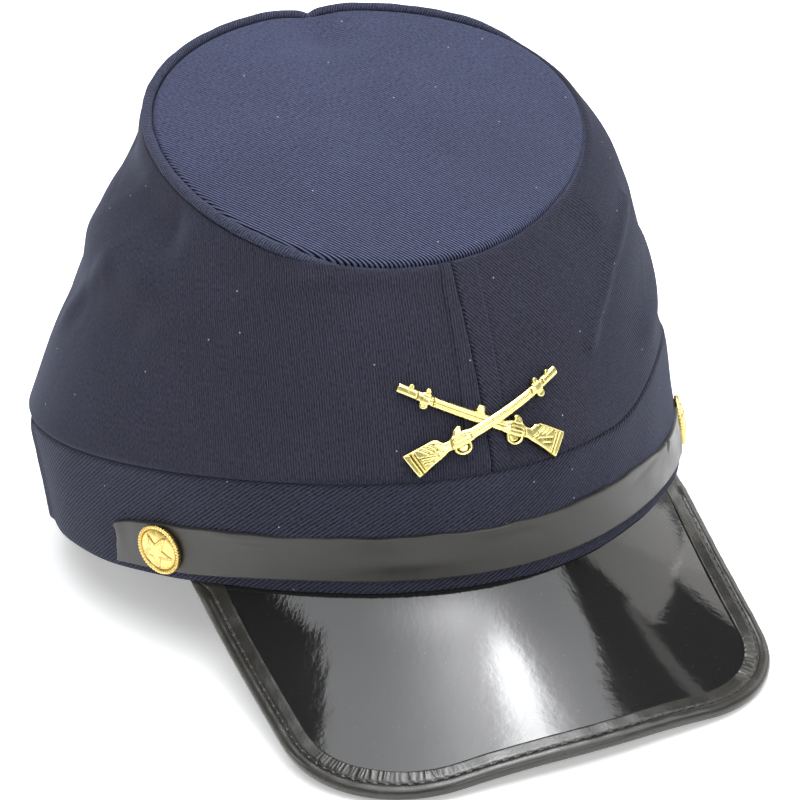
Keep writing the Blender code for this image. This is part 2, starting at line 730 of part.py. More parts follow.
def make_peak_binding(hat):
    """The binding: its section carried round the outline. Its flaps run out to nothing
    where the outline reaches the band."""
    outline, inward = peak_path(1.4, BINDING_STATIONS)
    share = flap_share(outline, inward)
    threads = []
    for inset, up in binding_section():
        reach = inset * share if inset > 0.0 else inset * np.ones_like(share)
        face, square = peak_top(outline + inward * reach[:, None])
        threads.append(face + square * up)
    count = len(threads)
    faces = grid_faces(count, BINDING_STATIONS, close=True)
    faces.append(tuple(r * BINDING_STATIONS for r in range(count)))
    faces.append(tuple(r * BINDING_STATIONS + BINDING_STATIONS - 1 for r in reversed(range(count))))
    faces = [tuple(reversed(face)) for face in faces]
    points = np.array(threads).reshape(-1, 3)
    return add_piece("peak_binding", points, faces, "black_vinyl", hat)


# ---------------------------------------------------------------- badge

def badge_point(across, up, lift):
    """A point of the badge's flat pattern laid on the front of the crown, "lift" mm out."""
    rise = BADGE_RISE + np.asarray(up) / ARC_PER_RISE * BADGE_STRETCH
    turn = np.asarray(across) / BADGE_ARC
    face = side_point(turn, rise, False)
    return face + side_normal(turn, rise) * (BADGE_GAP + np.asarray(lift))[..., None]


def badge_scale():
    """How many mm of cloth a radian and a full rise are worth at the badge's middle."""
    step = 0.01
    arc = np.linalg.norm(side_point(step, BADGE_RISE, False) - side_point(-step, BADGE_RISE, False))
    climb = np.linalg.norm(side_point(0.0, BADGE_RISE + step, False)
                           - side_point(0.0, BADGE_RISE - step, False))
    return arc / (2.0 * step), ARC_PER_RISE / (climb / (2.0 * step))


BADGE_ARC, BADGE_STRETCH = badge_scale()


def make_rifle(name, muzzle, direction, mirrored, lift, hat):
    """One rifle of the badge: its outline from the table, rounded in relief, flat behind."""
    table = np.array(RIFLE)
    station, upper, lower, relief = table.T
    width = np.array([-1.0, -0.6, 0.0, 0.6, 1.0])
    edge = np.where(width[:, None] > 0.0, upper[None, :], lower[None, :])
    off = width[:, None] * edge
    swell = relief[None, :] * (0.35 + 0.65 * np.sqrt(np.clip(1.0 - width[:, None] ** 2, 0.0, 1.0)))
    if mirrored:
        off = -off
    cosine, sine = cos(radians(direction)), sin(radians(direction))
    across = muzzle[0] + station[None, :] * cosine - off * sine
    up = muzzle[1] + station[None, :] * sine + off * cosine
    front = badge_point(across, up, lift + swell)
    back = badge_point(across, up, np.full(across.shape, lift))
    points, faces = shell(front, back)
    if not mirrored:
        faces = [tuple(reversed(face)) for face in faces]
    return add_piece(name, points, faces, "gold", hat)


def make_badge(hat):
    """The crossed rifles joined into one casting, with two headed pins through the cloth.
    Returns the badge and the tools that cut the pins' holes."""
    rifles = [make_rifle("badge" if name == "under" else "rifle_tool", (across, up), direction,
                         mirrored, lift, hat)
              for name, across, up, direction, mirrored, lift in RIFLES]
    badge, over = rifles
    cut(badge, over, "UNION")
    tools = []
    for across, up in PIN_PLACES:
        rise = BADGE_RISE + up / ARC_PER_RISE * BADGE_STRETCH
        turn = across / BADGE_ARC
        place = side_point(turn, rise, False)
        outward = side_normal(np.array(turn), np.array(rise))
        deep = -SIDE_WALL - 2.0 * GAP
        pin = turned("pin_tool",
                     ((0, deep - 0.7), (PIN_HEAD_RADIUS, deep - 0.7), (PIN_HEAD_RADIUS, deep),
                      (PIN_RADIUS, deep), (PIN_RADIUS, BADGE_GAP + 0.8), (0, BADGE_GAP + 0.8)),
                     12, "gold", hat)
        stand_on(pin, place, outward)
        cut(badge, pin, "UNION")
        hole = peg("pin_hole_tool", place, outward, PIN_RADIUS + GAP, -6.0, 6.0, hat)
        hole.hide_render = True
        hole.display_type = "WIRE"
        tools.append(hole)
    return badge, tools


# ---------------------------------------------------------------- assembly

def clear_scene():
    """Remove every object, so that the script can be run again."""
    for old in list(bpy.data.objects):
        bpy.data.objects.remove(old, do_unlink=True)


def resting_place():
    """The turn that sets the hat on its peak's corners and the back of its band, with the
    height at which the band's back edge is pressed in by its sink."""
    turn = Matrix.Rotation(REST_ROLL, 4, "Y") @ Matrix.Rotation(-REST_PITCH, 4, "X")
    points = band_outline(np.linspace(-pi, pi, 361), 0.0, -BAND_WALL / 2.0)
    lowest = (points @ np.array(turn.to_3x3()).T)[:, 2].min()
    lift = Matrix.Translation((0.0, 0.0, (-lowest - REST_SINK) * 0.001))
    return lift @ turn


def centre_on_origin(hat, pieces):
    """Slide the hat level so that the middle of its box is over the origin."""
    bpy.context.view_layer.update()
    shapes = bpy.context.evaluated_depsgraph_get()
    corners = []
    for piece in pieces:
        solid = piece.evaluated_get(shapes)
        mesh = solid.to_mesh()
        points = np.empty(len(mesh.vertices) * 3)
        mesh.vertices.foreach_get("co", points)
        world = np.array(solid.matrix_world)
        corners.append(points.reshape(-1, 3) @ world[:3, :3].T + world[:3, 3])
        solid.to_mesh_clear()
    every = np.concatenate(corners)
    middle = (every.min(axis=0) + every.max(axis=0)) / 2.0
    hat.location.x -= middle[0]
    hat.location.y -= middle[1]


def build():
    """Make every piece and set the hat down."""
    clear_scene()
    hat = bpy.data.objects.new("hat", None)
    bpy.context.scene.collection.objects.link(hat)
    hat.matrix_basis = resting_place()

    top = make_crown_top(hat)
    piping = make_top_piping(hat)
    right = make_side("crown_side_right", -1.0, hat)
    left = make_side("crown_side_left", 1.0, hat)
    band = make_band(hat)
    strap = make_chin_strap(hat)
    buttons = [make_button("strap_button_right", -1.0, hat),
               make_button("strap_button_left", 1.0, hat)]
    for side in (-1.0, 1.0):
        hole = make_button_hole(side, hat)
        cut(band, hole)
        cut(strap, hole)
    peak = make_peak(hat)
    binding = make_peak_binding(hat)
    badge, pin_holes = make_badge(hat)
    for panel, hole in zip((right, left), pin_holes):
        cut(panel, hole)
    centre_on_origin(hat, [top, piping, right, left, band, strap, peak, binding, badge] + buttons)


build()
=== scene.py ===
"""A soft military forage cap, dressed over its CAD frame.

Shapes are worked out in millimetres in the hat's own frame, which faces -Y with the wearer's
right at -X and has z = 0 on the lower edge of the head band. They are set down on the floor
as their meshes are made. "turn" is the angle round the head from the front seam, positive
towards the wearer's left, and "rise" is a share of the way up the side panels.
"""

from math import cos, pi, radians, sin, tan

import bmesh
import bpy
import numpy as np
from mathutils import Matrix, Vector


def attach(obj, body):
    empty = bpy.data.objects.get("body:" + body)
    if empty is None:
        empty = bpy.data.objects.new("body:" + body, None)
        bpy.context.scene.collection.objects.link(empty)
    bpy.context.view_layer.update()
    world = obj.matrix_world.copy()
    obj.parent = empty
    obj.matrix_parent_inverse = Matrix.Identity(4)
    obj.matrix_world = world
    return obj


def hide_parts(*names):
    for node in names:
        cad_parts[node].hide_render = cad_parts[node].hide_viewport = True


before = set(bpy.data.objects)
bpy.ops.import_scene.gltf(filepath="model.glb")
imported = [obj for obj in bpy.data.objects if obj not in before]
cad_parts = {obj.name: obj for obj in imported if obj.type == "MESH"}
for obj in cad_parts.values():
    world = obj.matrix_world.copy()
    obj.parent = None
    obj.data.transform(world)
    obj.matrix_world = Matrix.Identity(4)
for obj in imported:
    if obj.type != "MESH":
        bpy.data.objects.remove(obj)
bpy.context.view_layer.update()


# ---- head band
# A strip of navy twill about 30 mm high, folded over at its lower edge. It is sewn round
# the foot of the crown, and its soft lower edge rests on the floor at the back.

ROLL, PITCH = radians(1.4), radians(6.59)  # how the hat leans as it rests on the floor
PLACE = (2.6386, 22.7121, 12.4266)
HALF_WIDTH, HALF_LENGTH = 82.5, 104.2  # of the band's lower edge
BAND_HEIGHT = 29.6
BAND_WALL = 2.4


def set_down(points):
    """Points of the hat's own frame in mm as metres of the scene: pitched, rolled and moved."""
    lean = np.array(Matrix.Rotation(ROLL, 3, "Y") @ Matrix.Rotation(-PITCH, 3, "X"))
    return (np.asarray(points) @ lean.T + PLACE) * 0.001


def smooth(share):
    """Three times the square less twice the cube of a share held between 0 and 1."""
    share = np.clip(share, 0, 1)
    return share * share * (3 - 2 * share)


def hump(offset, half_width):
    """The exponential of minus the square of offset over half width."""
    return np.exp(-(offset / half_width) ** 2)


def unit(vectors):
    """Vectors divided by their own lengths."""
    return vectors / np.linalg.norm(vectors, axis=-1, keepdims=True)


def together(*parts):
    """Arrays spread to one shape and set side by side along a new last axis."""
    return np.stack(np.broadcast_arrays(*parts), axis=-1)


def circle(count):
    """Even angles round a full turn."""
    return np.linspace(0, 2 * pi, count, endpoint=False)


def arc_length(points, axis):
    """The running sum of the steps between neighbouring points along an axis, from 0."""
    steps = np.linalg.norm(np.diff(points, axis=axis), axis=-1)
    return np.insert(np.cumsum(steps, axis=axis), 0, 0, axis=axis)


def band_outline(turn, height, out=0):
    """A point of the band's face: an oval that grows with height and "out", with a
    third-harmonic pinch in its width, a lean and a slant, and a spread at the back right
    that is gone at the band's top."""
    facing = smooth(np.cos(turn + radians(149)) + 0.45)
    out = out + 3.6 * facing * np.clip(1 - height / BAND_HEIGHT, 0, 1)
    across = (HALF_WIDTH + 0.05 * height + out) * np.sin(turn) - 3.7 * np.sin(3 * turn)
    along = -(HALF_LENGTH + 0.05 * height + out) * np.cos(turn)
    rise = height - 0.9 * np.cos(2 * turn) - 0.07 * height * np.sin(turn)
    return together(across - 0.12 * height, along, rise)


def band_top(turn):
    """How high the band's upper edge is, which climbs round the wearer's left side."""
    climb = smooth((turn - radians(29)) / radians(30))
    return BAND_HEIGHT + 8 * (climb * smooth((radians(165) - turn) / radians(50)))


def closed_piece(name, points, faces, finish, corners=None, marks=None):
    """A smooth object of one material on points in mm, turned over if its volume is negative.
    "corners" has a flat place for each corner of each face, and "marks" named values."""
    mesh = bpy.data.meshes.new(name)
    mesh.from_pydata(set_down(points).tolist(), [], faces)
    if corners is not None:
        mesh.uv_layers.new(name="cloth")
        mesh.uv_layers["cloth"].data.foreach_set("uv", corners.ravel())
    for key, value in (marks or {}).items():
        mesh.attributes.new(key, "FLOAT", "POINT").data.foreach_set("value", value)
    solid = bmesh.new()
    solid.from_mesh(mesh)
    if solid.calc_volume(signed=True) < 0:
        mesh.flip_normals()
    solid.free()
    mesh.shade_smooth()
    mesh.materials.append(finish)
    piece = bpy.data.objects.new(name, mesh)
    bpy.context.scene.collection.objects.link(piece)
    return piece


def grid_piece(name, rows, finish, cloth=None, wrap=False, capped=False, marks=None):
    """Faces on rows of points in mm. "wrap" joins the last column to the first, or else both
    ends are filled in. The last row joins the first, or if "capped" a fan closes each.
    "cloth" has a flat place in metres for each point, and one more along a joined way."""
    rows, marks = np.asarray(rows, float), marks or {}
    count, across = rows.shape[:2]
    down, along = np.meshgrid(np.arange(count - capped), np.arange(across - (not wrap)), indexing="ij")
    r = together(down, down, down + 1, down + 1).reshape(-1, 4)
    c = together(along, along + 1, along + 1, along).reshape(-1, 4)
    faces = (r % count * across + c % across).tolist()
    points = rows.reshape(-1, 3)
    flat = np.zeros((count + 1, across + 1, 2)) if cloth is None else cloth
    corners = [flat[r, c].reshape(-1, 2)]
    values = {key: value.reshape(-1) for key, value in marks.items()}
    ring = np.arange(across if capped else count)
    if not wrap:
        faces += [(ring * across).tolist(), (ring * across + across - 1)[::-1].tolist()]
        corners += [flat[ring, 0], flat[ring[::-1], across - 1]]
    for row, first, second in ((0, ring + 1, ring), (count - 1, ring, ring + 1)) if capped else ():
        fan = together(len(points), row * across + first % across, row * across + second % across)
        faces += fan.tolist()
        points = np.vstack([points, rows[row].mean(axis=0)])
        middle = np.repeat(flat[row].mean(axis=0)[None], across, axis=0)
        corners.append(np.stack([middle, flat[row, first], flat[row, second]], axis=1).reshape(-1, 2))
        for key, value in marks.items():
            values[key] = np.append(values[key], value[row].mean())
    return closed_piece(name, points, faces, finish, np.vstack(corners), values)


def node(tree, kind, values=(), out=0, **settings):
    """One output of a new shader node: "settings" are its properties, and "values" feed its
    inputs with a number, a colour or another node's output."""
    made = tree.nodes.new("ShaderNode" + kind)
    for key, value in settings.items():
        setattr(made, key, value)
    for socket, value in dict(values).items():
        if isinstance(value, bpy.types.NodeSocket):
            tree.links.new(value, made.inputs[socket])
        else:
            made.inputs[socket].default_value = value
    return made.outputs[out]


def maths(operation, *values):
    """A Math node, in the tree of its first value."""
    return node(values[0].id_data, "Math", dict(enumerate(values)), operation=operation)


def vectors(operation, *values):
    """A Vector Math node, in the tree of its first value."""
    out = 1 if operation == "DOT_PRODUCT" else 0
    return node(values[0].id_data, "VectorMath", dict(enumerate(values)), out, operation=operation)


def noise(place, scale, detail=2, **more):
    """Noise with so many lumps to a metre of the place."""
    values = {"Vector": place, "Scale": scale, "Detail": detail, **more}
    return node(place.id_data, "TexNoise", values)


def mapped(value, *ends, **settings):
    """A number carried from between the first two ends to between the last two, or 0 and 1."""
    return node(value.id_data, "MapRange", dict(enumerate((value,) + ends)), **settings)


def mix_colour(shader, share, first, second):
    """A mix of two colours for the surface."""
    values = {"Factor": share, "A": first, "B": second}
    mixed = node(shader.id_data, "Mix", values, 2, data_type="RGBA")
    shader.id_data.links.new(mixed, shader.inputs["Base Color"])


def raise_surface(shader, strength, relief, height):
    """A bump for the surface: a height times a relief in metres."""
    values = {"Strength": strength, "Distance": relief, "Height": height}
    shader.id_data.links.new(node(shader.id_data, "Bump", values), shader.inputs["Normal"])


def plain_finish(name, **values):
    """A new material with numbers set on its shader, whose names have "_" for a space."""
    material = bpy.data.materials.new(name)
    material.use_nodes = True
    shader = material.node_tree.nodes["Principled BSDF"]
    for key, value in values.items():
        shader.inputs[key.replace("_", " ")].default_value = value
    return material, material.node_tree, shader


def twill(name, colour, rib_angle, contrast, period, wander=2.5, pressed=None):
    """Woven twill. Its ribs run at an angle in degrees, a period in mm apart: the sine of
    the place across them, whose phase wanders. The ribs are raised as a bump and are also
    painted into the colour, lighter on their ridges as painted light and shaded in their
    grooves as painted shade. Stretched noise gives uneven yarn and faint patches, and small
    spots are lint. "pressed" is an axis of the cloth, two places in metres along it between
    which the ribs fade, and the share that is left of them."""
    material, tree, shader = plain_finish(
        name, Roughness=0.88, Specular_IOR_Level=0.12, Sheen_Weight=0.09, Sheen_Roughness=0.35,
        Sheen_Tint=(0.6, 0.7, 1, 1))
    flat = node(tree, "UVMap", uv_map="cloth")
    c, s = cos(radians(rib_angle)), sin(radians(rib_angle))
    along, across = (vectors("DOT_PRODUCT", flat, way) for way in ((c, s, 0), (-s, c, 0)))
    wander = maths("MULTIPLY", noise(flat, 70), wander)
    rib = maths("SINE", maths("MULTIPLY_ADD", across, 2000 * pi / period, wander))
    turned = node(tree, "CombineXYZ", {0: along, 1: across})

    def yarn(long, short, detail):
        """Noise stretched to lumps of a length and a width in mm, from -1 to 1."""
        place = vectors("MULTIPLY", turned, (1000 / long, 1000 / short, 1))
        return maths("MULTIPLY_ADD", noise(place, 1, detail), 2, -1)

    slub, grain, patch = yarn(9, 1, 1), yarn(1.1, 0.34, 1), yarn(45, 30, 2)
    if pressed:
        axis, start, end, left = pressed
        where = node(tree, "SeparateXYZ", {0: flat}, axis)
        rib = maths("MULTIPLY", rib, mapped(where, start, end, 1, left))
    # The ribs' sine is painted into the colour: painted light on their ridges and painted shade in their
    # grooves.
    total = maths("MULTIPLY_ADD", rib, contrast, 1)
    for lumps, share in ((slub, 0.16), (grain, 0.95), (patch, 0.16)):
        total = maths("MULTIPLY_ADD", lumps, share, total)
    dye = node(tree, "VectorMath", {0: colour, "Scale": total}, operation="SCALE")
    cells = node(tree, "TexVoronoi", {"Vector": flat, "Scale": 90}, voronoi_dimensions="2D").node
    near = maths("LESS_THAN", cells.outputs["Distance"], 0.019)
    rare = maths("GREATER_THAN", node(tree, "SeparateColor", {0: cells.outputs["Color"]}), 0.8)
    mix_colour(shader, maths("MULTIPLY", near, rare), dye, (0.3, 0.31, 0.34, 1))
    raise_surface(shader, 1, 0.00007, maths("MULTIPLY_ADD", grain, 0.5, rib))
    return material


turn = [np.linspace(-pi, -pi + 0.03, 8), np.linspace(pi - 0.03, pi, 8, endpoint=False)]
turn = np.unique(np.hstack([np.linspace(-pi, pi, 420, endpoint=False)] + turn))
bend, fold = np.linspace(0, pi, 13)[1:-1], BAND_WALL / 2
out = np.hstack([np.zeros(26), fold * np.cos(bend) - fold, np.full(10, -BAND_WALL)])[:, None]
height = np.hstack([np.linspace(30.6, fold, 26), fold - fold * np.sin(bend),
                    np.linspace(fold, 30.6, 10)])[:, None]
face = (out > -fold) * smooth((31 - height) / 6)
tuck = -2.3 * smooth((height - 28.2) / 1.4) * (out > -fold)
height = height * band_top(turn) / BAND_HEIGHT
ripple = 0.22 * np.sin(9 * turn + 0.1 * height) + 0.14 * np.sin(23 * turn - 0.16 * height)
ripple += 0.9 * hump(turn + radians(99) - 0.0015 * height, radians(1.5))
ripple -= 0.9 * hump(np.minimum(pi - turn, pi + turn), 0.008)
rows = band_outline(turn[None], height, out + face * ripple + tuck)
sunk = -set_down(rows)[..., 2] * 1000
rows[..., 2] += np.maximum(sunk, 0)
lap = np.hstack([rows, rows[:, :1]])
down = arc_length(np.vstack([lap, lap[:1]]), 0)[:, :1]
band = grid_piece("head_band", rows, twill("band_twill", (0.029, 0.03, 0.047), 30, 0.5, 0.8),
                  together(arc_length(lap[12:13], 1), -down) * 0.001, wrap=True)
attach(band, "root")
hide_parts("band")


# ---- crown sides
# Two panels of the same twill, cut to taper and sewn together at the front and the back.
# Their lower edges roll over the band, and their upper edges are sewn in under the cord.

# The sides' twill is the top's cloth made deeper and greyer in tone: painted shade for the sides, which get
# less light than the top.
SHADED_SIDE_COLOUR = (0.0245, 0.0245, 0.039)
TURN_MM, RISE_MM = 75, 66  # of cloth to a radian and to a full rise
PANEL_LENGTH = 290
BULGES = (
    # name, facing turn (deg), middle, waist
    ("right side", -90, 1.3, -0.5),
    ("left side", 90, 3.9, -1.8),
    ("front", 0, 2, 0),
    ("back", 180, 3, 1),
)
FOLDS = (
    # name, places along it as (turn in degrees, rise), height, half width
    ("left front ridge",
     ((62, 0.75), (54, 0.71), (42, 0.65), (32, 0.52), (28, 0.42)), 1.1, 2.6),
    ("hollow over the ridge", ((108, 0.56), (72, 0.55)), -1.9, 5),
    ("swell under the ridge", ((76, 0.34), (52, 0.2)), 2, 8),
    ("left shoulder", ((48, 0.9), (100, 0.88)), 1.5, 7),
    ("waist under right rim", ((-126, 0.85), (-76, 0.88)), -4, 7),
    ("right shoulder", ((-112, 0.64), (-84, 0.72), (-76, 0.7)), 1, 5),
    ("right ridge", ((-102, 0.4), (-97, 0.52), (-90, 0.62)), 1, 4),
    ("right middle hollow", ((-116, 0.44), (-74, 0.48)), -2, 8),
    ("roll under front rim", ((-66, 0.95), (-37, 0.92)), 0.9, 4.5),
    ("pull below the roll", ((-34, 0.925), (-20, 0.955), (-4, 0.955)), 0.9, 2.2),
    ("back slack, right", ((-150, 0.62), (-128, 0.3)), 1.3, 8),
    ("back slack, left", ((150, 0.66), (126, 0.34)), 1.3, 8),
)
TOP_CENTRE = (0.5, -31.1, 102.3)
TOP_TIP = radians(27.8)
TOP_HALF_WIDTH, TOP_HALF_LENGTH = 55.8, 54.5


def top_frame(across, along, up):
    """A point of the flat top's own tipped plane, in the hat's frame."""
    x, y, z = TOP_CENTRE
    y = y + along * cos(TOP_TIP) - up * sin(TOP_TIP)
    return together(x + across, y, z + along * sin(TOP_TIP) + up * cos(TOP_TIP))


def top_outline(turn, out):
    """The flat top's outline in its plane: an oval with three faint lobes."""
    out = out + 1.1 * np.cos(3 * turn) - 1.6 * np.sin(3 * turn)
    return (TOP_HALF_WIDTH + out) * np.sin(turn), -(TOP_HALF_LENGTH + out) * np.cos(turn)


def rim(turn, out=0, down=0):
    """A point by the seam round the flat top, which is pressed down and in at its join."""
    pinch = hump((turn - radians(177) + pi) % (2 * pi) - pi, radians(7))
    across, along = top_outline(turn, out - 0.9 * pinch)
    bend = 0.4 * np.cos(2 * turn) - 0.9 * np.sin(2 * turn)
    return top_frame(across, along, bend - down - 0.8 * pinch)


def rolled_over(turn):
    """1 round the front and the wearer's left, where the sides roll right over the cord."""
    return smooth((turn + 0.75) / 0.3) * smooth((2.3 - turn) / 0.4)


def near_line(x, y, x0, y0, x1, y1):
    """The distance of points from the straight line between two points."""
    run = np.array([x1 - x0, y1 - y0])
    share = np.clip(((x - x0) * run[0] + (y - y0) * run[1]) / (run @ run), 0, 1)
    return np.hypot(x - x0 - share * run[0], y - y0 - share * run[1])


def fold_height(turn, rise):
    """The sum of the folds: each a hump of the distance from its line on the cloth."""
    total = np.zeros(np.broadcast(turn, rise).shape)
    for name, places, height, width in FOLDS:
        x, y = np.array(places).T * np.array([[radians(TURN_MM)], [RISE_MM]])
        off = [near_line(turn * TURN_MM, rise * RISE_MM, *ends) for ends in zip(x, y, x[1:], y[1:])]
        total += height * hump(np.min(off, axis=0), width)
    return total


def side_point(turn, rise, folds=True):
    """A side panel's outer face: straight from over the band to under the rim, then moved
    level outwards by the bulges and the folds."""
    foot = band_outline(turn, band_top(turn) - 0.4, 0.8 - 1.4 * hump(turn - radians(80), 0.5))
    cover = rolled_over(turn)
    head = rim(turn, 3 - 1.1 * cover, 1 - 0.8 * cover)
    bow = 0
    for name, facing, middle, waist in BULGES:
        share = np.clip(np.cos(turn - radians(facing)), 0, 1)
        bow += share * (middle * np.sin(pi * rise) + waist * np.sin(2 * pi * rise))
    if folds:
        bow += fold_height(turn, rise) * np.clip(6 * rise * (1 - rise), 0, 1) ** 0.5
    level = together(np.sin(turn), -np.cos(turn), 0)
    return foot + (head - foot) * rise[..., None] + level * bow[..., None]


def crumple(x, y, count, seed, tallest, width, length, lean):
    """Soft creases over a flat place in mm: the sum of seeded ridges and hollows, each a
    hump across and a hump along a direction near "lean" radians."""
    dice = np.random.default_rng(seed)
    total = 0
    for _ in range(count):
        x0, y0 = dice.uniform(x.min(), x.max()), dice.uniform(y.min(), y.max())
        angle = lean + dice.normal(0, 0.45)
        along = (x - x0) * cos(angle) + (y - y0) * sin(angle)
        off = (y - y0) * cos(angle) - (x - x0) * sin(angle)
        crease = dice.uniform(-1, 1) * tallest * hump(along, length * dice.uniform(0.5, 1.5))
        total += crease * hump(off, width * dice.uniform(0.6, 1.4))
    return total


def dense_ends(count, length, edge, steps):
    """Shares from 0 to 1 of a length in mm: even ones, and at each end some spaced as one
    less a cosine, for an edge rounded by "edge" mm."""
    near = edge * (1 - np.cos(np.linspace(0, pi / 2, steps, endpoint=False))) / length
    even = np.linspace(edge / length, 1 - edge / length, count)
    return np.hstack([near, even, 1 - near[::-1]])


def round_off(distance, radius):
    """How far a quarter circle drops from its tangent at a distance from the edge."""
    return radius - np.sqrt(radius ** 2 - np.clip(radius - distance, 0, radius) ** 2)


def side_panel(name, direction, seed, finish):
    """One panel: an outer face with its seam allowances showing through, creases and rounded
    edges, and a plain inner face 2 mm in."""
    share = np.hstack([dense_ends(250, PANEL_LENGTH, 1.2, 6), np.linspace(1.2, 9, 30) / PANEL_LENGTH])
    turn = direction * (0.0004 + (pi - 0.0008) * np.unique(share))[None, :]
    turn -= 0.018 * (1 - np.abs(turn) / pi) ** 2
    rise = dense_ends(96, 72, 1.5, 7)[:, None] + 0 * turn
    base = side_point(turn, rise)
    outward = unit(np.cross(np.gradient(base, axis=1), np.gradient(base, axis=0))) * direction
    from_front, from_foot = arc_length(base, 1), arc_length(base, 0)
    from_back, from_head = from_front[:, -1:] - from_front, from_foot[-1:] - from_foot
    allowance = (3 + 3.2 * (1 - rise)) if direction < 0 else (6.4 - 2.2 * (1 - rise))
    lift = 0.5 * smooth((allowance - from_front) / 0.6 + 0.5) - 0.25 * hump(from_front - allowance - 0.5, 0.5)
    lift *= smooth(from_foot / 6)
    lift += 0.38 * smooth((5.5 - from_back) / 0.8 + 0.5) * smooth(from_foot / 6)
    lift += crumple(from_front, from_foot, 34, seed, 0.42, 4.5, 26, 0.25 * direction)
    lift += crumple(from_front, from_foot, 60, seed + 1, 0.14, 2.2, 9, 0.9)
    lift -= round_off(from_foot, 1.8) + round_off(from_head, 0.9 + 0.9 * rolled_over(turn))
    lift -= round_off(from_front, 1.2) + round_off(from_back, 1.2)
    back = np.linspace(len(rise) - 1, 0, 14).astype(int)
    inner = unit(np.where(from_foot[..., None] < 4, outward * np.array([1, 1, 0]), outward))
    rows = np.vstack([base + outward * lift[..., None], (base - inner * 2)[back]])
    cloth = together(direction * from_front, from_foot)
    piece = grid_piece(name, rows, finish, np.vstack([cloth, cloth[back], cloth[:1]]) * 0.001)
    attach(piece, "root")
    return piece


fabric = twill("right_panel_twill", SHADED_SIDE_COLOUR, 86, 0.4, 0.66, pressed=(0, -0.055, -0.095, 0.05))
right_panel = side_panel("side_panel_right", -1, 11, fabric)
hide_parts("crown_side_right")
fabric = twill("left_panel_twill", SHADED_SIDE_COLOUR, -52, 0.4, 0.72)
left_panel = side_panel("side_panel_left", 1, 23, fabric)
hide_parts("crown_side_left")


# ---- crown top
# An oval of twill that closes the crown, tipped forward and a little domed, with the soft
# dents of an unlined top. Its edge is sewn down against the cord all round.

TOP_UP = np.array([0, -sin(TOP_TIP), cos(TOP_TIP)])  # square to the top's own plane
TOP_DENTS = (
    # x, along, depth, half width
    (3, 42, 2.4, 9),
    (27, 30, 0.7, 14),
)


def top_surface(turn, share, edge):
    """A point of the flat top at a share of the way from its middle to an edge so far out
    from the seam, and its place in the plane: the plane plus the rim's bend times the share
    cubed, the dome's one less the share squared, the dents and the creases."""
    across, along = top_outline(turn, edge)
    bent = rim(turn, edge) - top_frame(across, along, 0)
    x, y = across * share, along * share
    up = 2.2 * (1 - share ** 2) + 0 * turn
    for x0, y0, depth, width in TOP_DENTS:
        up -= depth * hump(np.hypot(x - x0, y - y0), width) * (1 - share ** 8)
    up += crumple(x, y, 26, 5, 0.3, 6, 22, 0.5) * (1 - share ** 6)
    return top_frame(x, y, 0) + bent * share[..., None] ** 3 + TOP_UP * up[..., None], together(x, y)


turn = np.linspace(-pi, pi, 260, endpoint=False)[None, :]
rounded = 1 - 0.026 * np.cos(np.linspace(0.1, pi / 2, 8))
share = np.hstack([np.linspace(0.012, 0.974, 66), rounded])[:, None] + 0 * turn
cover = rolled_over(turn)
face, flat = top_surface(turn, share, 0.15 + 0.8 * cover)
drop = round_off((1 - share) * 55, 1.4 + 0.5 * cover)[..., None] * TOP_UP
back = np.linspace(len(share) - 1, 0, 9).astype(int)
rows = np.vstack([face - drop, face[back] - TOP_UP * 2])
cloth = np.vstack([flat, flat[back]])
# The top's twill is a lighter, bluer copy of the sides' cloth: painted light for the top, which faces the
# light overhead. Its ribs' painted light and shade are stronger as well.
fabric = twill("lit_top_twill", (0.0415, 0.047, 0.085), -55, 1.35, 0.75, pressed=(1, -0.03, 0.02, 0.2))
crown_top = grid_piece("flat_top", rows, fabric, np.hstack([cloth, cloth[:, :1]]) * 0.001,
                       wrap=True, capped=True)
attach(crown_top, "root")
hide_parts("crown_top")


# ---- cord round the top
# A cord covered with a bias strip of the twill, caught in the seam between the top and the
# side panels. It flattens into a soft roll at the front, and its ends dive in at the back.

turn = np.linspace(radians(-184.5), radians(178.5), 620)
front = smooth((np.cos(turn + radians(4)) - 0.66) / 0.2)
ends = np.minimum(turn - turn[0], turn[-1] - turn) * 56
dive = 1 - smooth(ends / 5)
cover = rolled_over(turn)
path = rim(turn, 1.6 - 0.2 * cover - 0.9 * dive, 0.55 + 0.35 * front + 1.5 * cover + 1.3 * dive)
taper = np.sqrt(np.clip(1 - (1 - np.minimum(ends / 1.4, 1)) ** 2, 0.01, 1))
soft = 1 + 0.03 * np.sin(turn * 31) + 0.02 * np.sin(turn * 57 + 1)
size = taper * soft * (1.4 - 0.45 * cover)
tangent = unit(np.gradient(path, axis=0))
across = unit(np.cross(tangent, TOP_UP))
spin = circle(22)[:, None, None]
rows = (path + np.cos(spin) * across * size[:, None]
        + np.sin(spin) * np.cross(across, tangent) * size[:, None])
girth = np.linspace(0, 2 * pi, 23)[:, None] * np.mean(size)
# The cord's twill is a lighter copy of the sides' cloth: painted light on the rolled cord.
cord = grid_piece("top_cord", rows, twill("cord_twill", (0.039, 0.043, 0.071), 68, 0.45, 0.68, 1.2),
                  together(arc_length(path[None], 1), girth) * 0.001)
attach(cord, "root")
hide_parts("top_piping")


# ---- peak
# A sheet of high-gloss black vinyl, cut to a rounded outline and bent round the front of
# the band, so that straight lines run out from the band's edge. It tucks in under the band.

PEAK_CORNERS = (
    # name, x, y, radius
    ("right end", -69.4, -40, 0),
    ("right", -67.5, -147, 33.6),
    ("front", -3, -152.3, 150),
    ("left", 48.4, -148.6, 29.6),
    ("left end", 67.6, -42.2, 0),
)
PEAK_THICK = 1.6
PEAK_FALL = 0.5  # mm down for each mm out from the band
PEAK_SAG, SAG_START, SAG_END = 7.2, 15, 52


